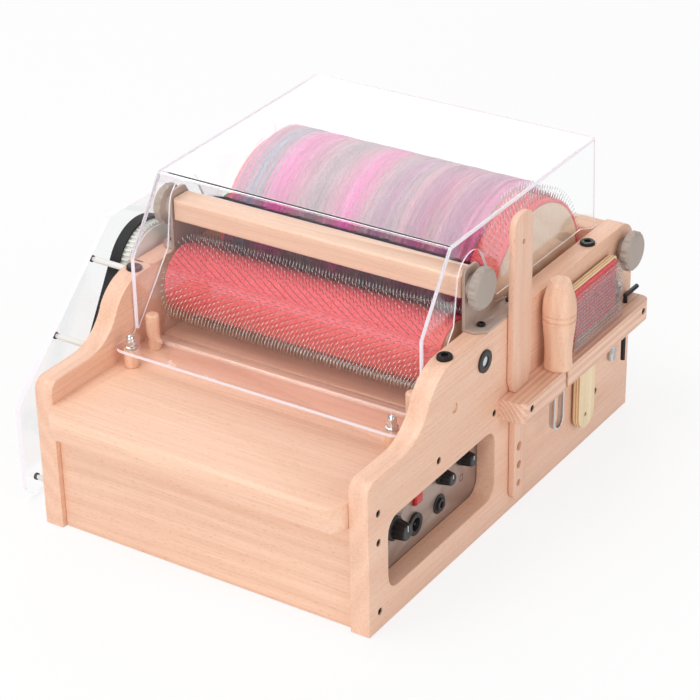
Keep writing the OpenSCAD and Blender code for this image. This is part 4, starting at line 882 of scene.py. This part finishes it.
def loose_fibres(count=4400, points=8, seed=12):
    """Fibre: x = x0 + drift t + a slight wave, angle = a0 + span t, radius = 96.6 mm + lift sin(pi t)."""
    rng = np.random.default_rng(seed)
    t = np.linspace(0, 1, points)
    x0 = rng.uniform(BATT[0] + 0.001, BATT[1] - 0.001, count)
    span = rng.uniform(0.2, 0.6, count)[:, None]
    drift = rng.normal(0, 0.0007, count)[:, None] * t
    swing, phase = rng.normal(0, 0.0005, count)[:, None], rng.uniform(0, 6, count)[:, None]
    x = np.clip(x0[:, None] + drift + swing * np.sin(2 * np.pi * t + phase), *BATT)
    angle = rng.uniform(0, 2 * np.pi, count)[:, None] + span * t
    radius = 0.0966 + rng.uniform(0.0, 0.0013, count)[:, None] * np.sin(np.pi * t)
    threads("loose_wool", x, angle, radius, dyed(x0, rng, 0.0035), 0.00008)


def stray_hairs(count=2400, points=4, seed=14):
    """Short hairs that stand off the batt: radius = 96 mm + rise t, leaning a little both ways."""
    rng = np.random.default_rng(seed)
    t = np.linspace(0, 1, points)
    x0 = rng.uniform(BATT[0] + 0.001, BATT[1] - 0.001, count)
    x = x0[:, None] + rng.normal(0, 0.0008, count)[:, None] * t
    angle = rng.uniform(0, 2 * np.pi, count)[:, None] + rng.normal(0, 0.02, count)[:, None] * t ** 2
    radius = 0.0960 + np.clip(rng.gamma(2.0, 0.0011, count), 0.001, 0.0050)[:, None] * t
    threads("stray_wool", x, angle, radius, dyed(x0, rng, 0.006) * 0.6 + 0.3, 0.00004, upright=True)


batt()
loose_fibres()
stray_hairs()

# %% [markdown]
# ## Packer brush and flick brush
# The packer's brush is a strip of stiff black bristles in a pale metal channel. The bristles
# are straight wires without a hook. The flick brush has the same card clothing as the rollers,
# on a flat backing.

# %% Packer brush
# The strip points down towards the drum: along it go the bristles, across it lies its width.
TILT = math.radians(-24)
along = np.array([0.0, math.cos(TILT), math.sin(TILT)])
across_strip = np.array([0.0, -math.sin(TILT), math.cos(TILT)])
strip_root = np.array([0.0, -0.025, 0.258])


def channel():
    """A U-section along X: outer 7 mm by 13.5 mm, wall 1 mm, its mouth towards the drum."""
    outline = np.array([[-4.5, -3.45], [9.0, -3.45], [9.0, -2.5], [-3.5, -2.5],
                        [-3.5, 2.5], [9.0, 2.5], [9.0, 3.45], [-4.5, 3.45]]) / 1000
    section = strip_root + outline[:, :1] * along + outline[:, 1:] * across_strip
    points = np.concatenate([section - 0.148 * X_AXIS, section + 0.148 * X_AXIS])
    k, n = np.arange(8), (np.arange(8) + 1) % 8
    left = [[0, 3, 2, 1], [0, 7, 4, 3], [7, 6, 5, 4]]
    right_end = [[8 + i for i in reversed(cap)] for cap in left]
    metal = finish("channel_metal", tone(236, 232, 224), 0.35, metallic=0.3, scale=900)
    piece = mesh_piece("brush_channel", points, np.stack([k, n, n + 8, k + 8], axis=1), metal, "packer",
                       smooth=False, caps=left + right_end)
    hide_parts("packer_bristles")


def packer_brush(count=2600, seed=21):
    """Straight bristles from the channel's mouth, splayed a little across the strip."""
    rng = np.random.default_rng(seed)
    x = rng.uniform(-0.1465, 0.1465, count)
    across = rng.uniform(-0.0023, 0.0023, count)
    foot = strip_root + x[:, None] * X_AXIS + 0.001 * along + across[:, None] * across_strip
    sideways, tipped = rng.normal(0, 0.012, count), rng.normal(0, 0.012, count) + across * 14
    out = along + sideways[:, None] * X_AXIS + tipped[:, None] * across_strip
    out /= np.linalg.norm(out, axis=1)[:, None]
    lean = np.cross(out, X_AXIS)
    lean /= np.linalg.norm(lean, axis=1)[:, None]
    nylon = finish("black_nylon", tone(22, 22, 24), 0.38, scale=300, bump=0.0)
    heights = rng.normal(0.0402, 0.0004, count)
    wire_piece("packer_brush", foot, out, lean, heights, 0.5, 0.01, 0.0002, nylon, "packer")


channel()
packer_brush()

# %% Flick brush pad
def flick_pad(nu=41, nv=25):
    """A flat backing, crowned at its rim, and bent wires on a staggered grid facing +X."""
    low, high = np.array([0.1898, 0.088, 0.136]), np.array([0.1928, 0.187, 0.190])
    u, v = np.meshgrid(np.linspace(0, 1, nu), np.linspace(0, 1, nv), indexing="ij")
    rim = np.clip(np.minimum(np.minimum(u, 1 - u) * 33, np.minimum(v, 1 - v) * 17), 0, 1)
    x = low[0] + (high[0] - low[0]) * np.where(rim < 0.01, 0.0, 0.7 + 0.3 * np.sqrt(rim))
    grid = np.stack([x, low[1] + (high[1] - low[1]) * u, low[2] + (high[2] - low[2]) * v], axis=2)
    index = np.arange(nu * nv).reshape(nu, nv)
    faces = np.stack([index[:-1, :-1], index[1:, :-1], index[1:, 1:], index[:-1, 1:]], axis=2).reshape(-1, 4)
    back = [*index[0], *index[1:, -1], *index[-1, -2::-1], *index[-2:0:-1, 0]]
    pad = mesh_piece("flick_backing", grid.reshape(-1, 3), faces, red_backing, "flick_brush",
                     caps=[[int(i) for i in back]])
    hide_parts("flick_pad")
    rng = np.random.default_rng(31)
    yy, zz = np.meshgrid(np.arange(0.0905, 0.185, 0.0022), np.arange(0.1385, 0.188, 0.0038), indexing="ij")
    yy = yy + (np.arange(yy.shape[1]) % 2)[None, :] * 0.0011
    foot = np.stack([np.full(yy.size, 0.1924), yy.ravel(), zz.ravel()], axis=1)
    out = np.tile(np.array([0.94, 0, -0.34]), (len(foot), 1))
    lean = np.tile(np.array([0.34, 0, 0.94]), (len(foot), 1))
    heights = rng.normal(0.0112, 0.00015, len(foot))
    wire_piece("flick_wires", foot, out, lean, heights, 0.5, -0.25, 0.00027, card_wire, "flick_brush")


flick_pad()
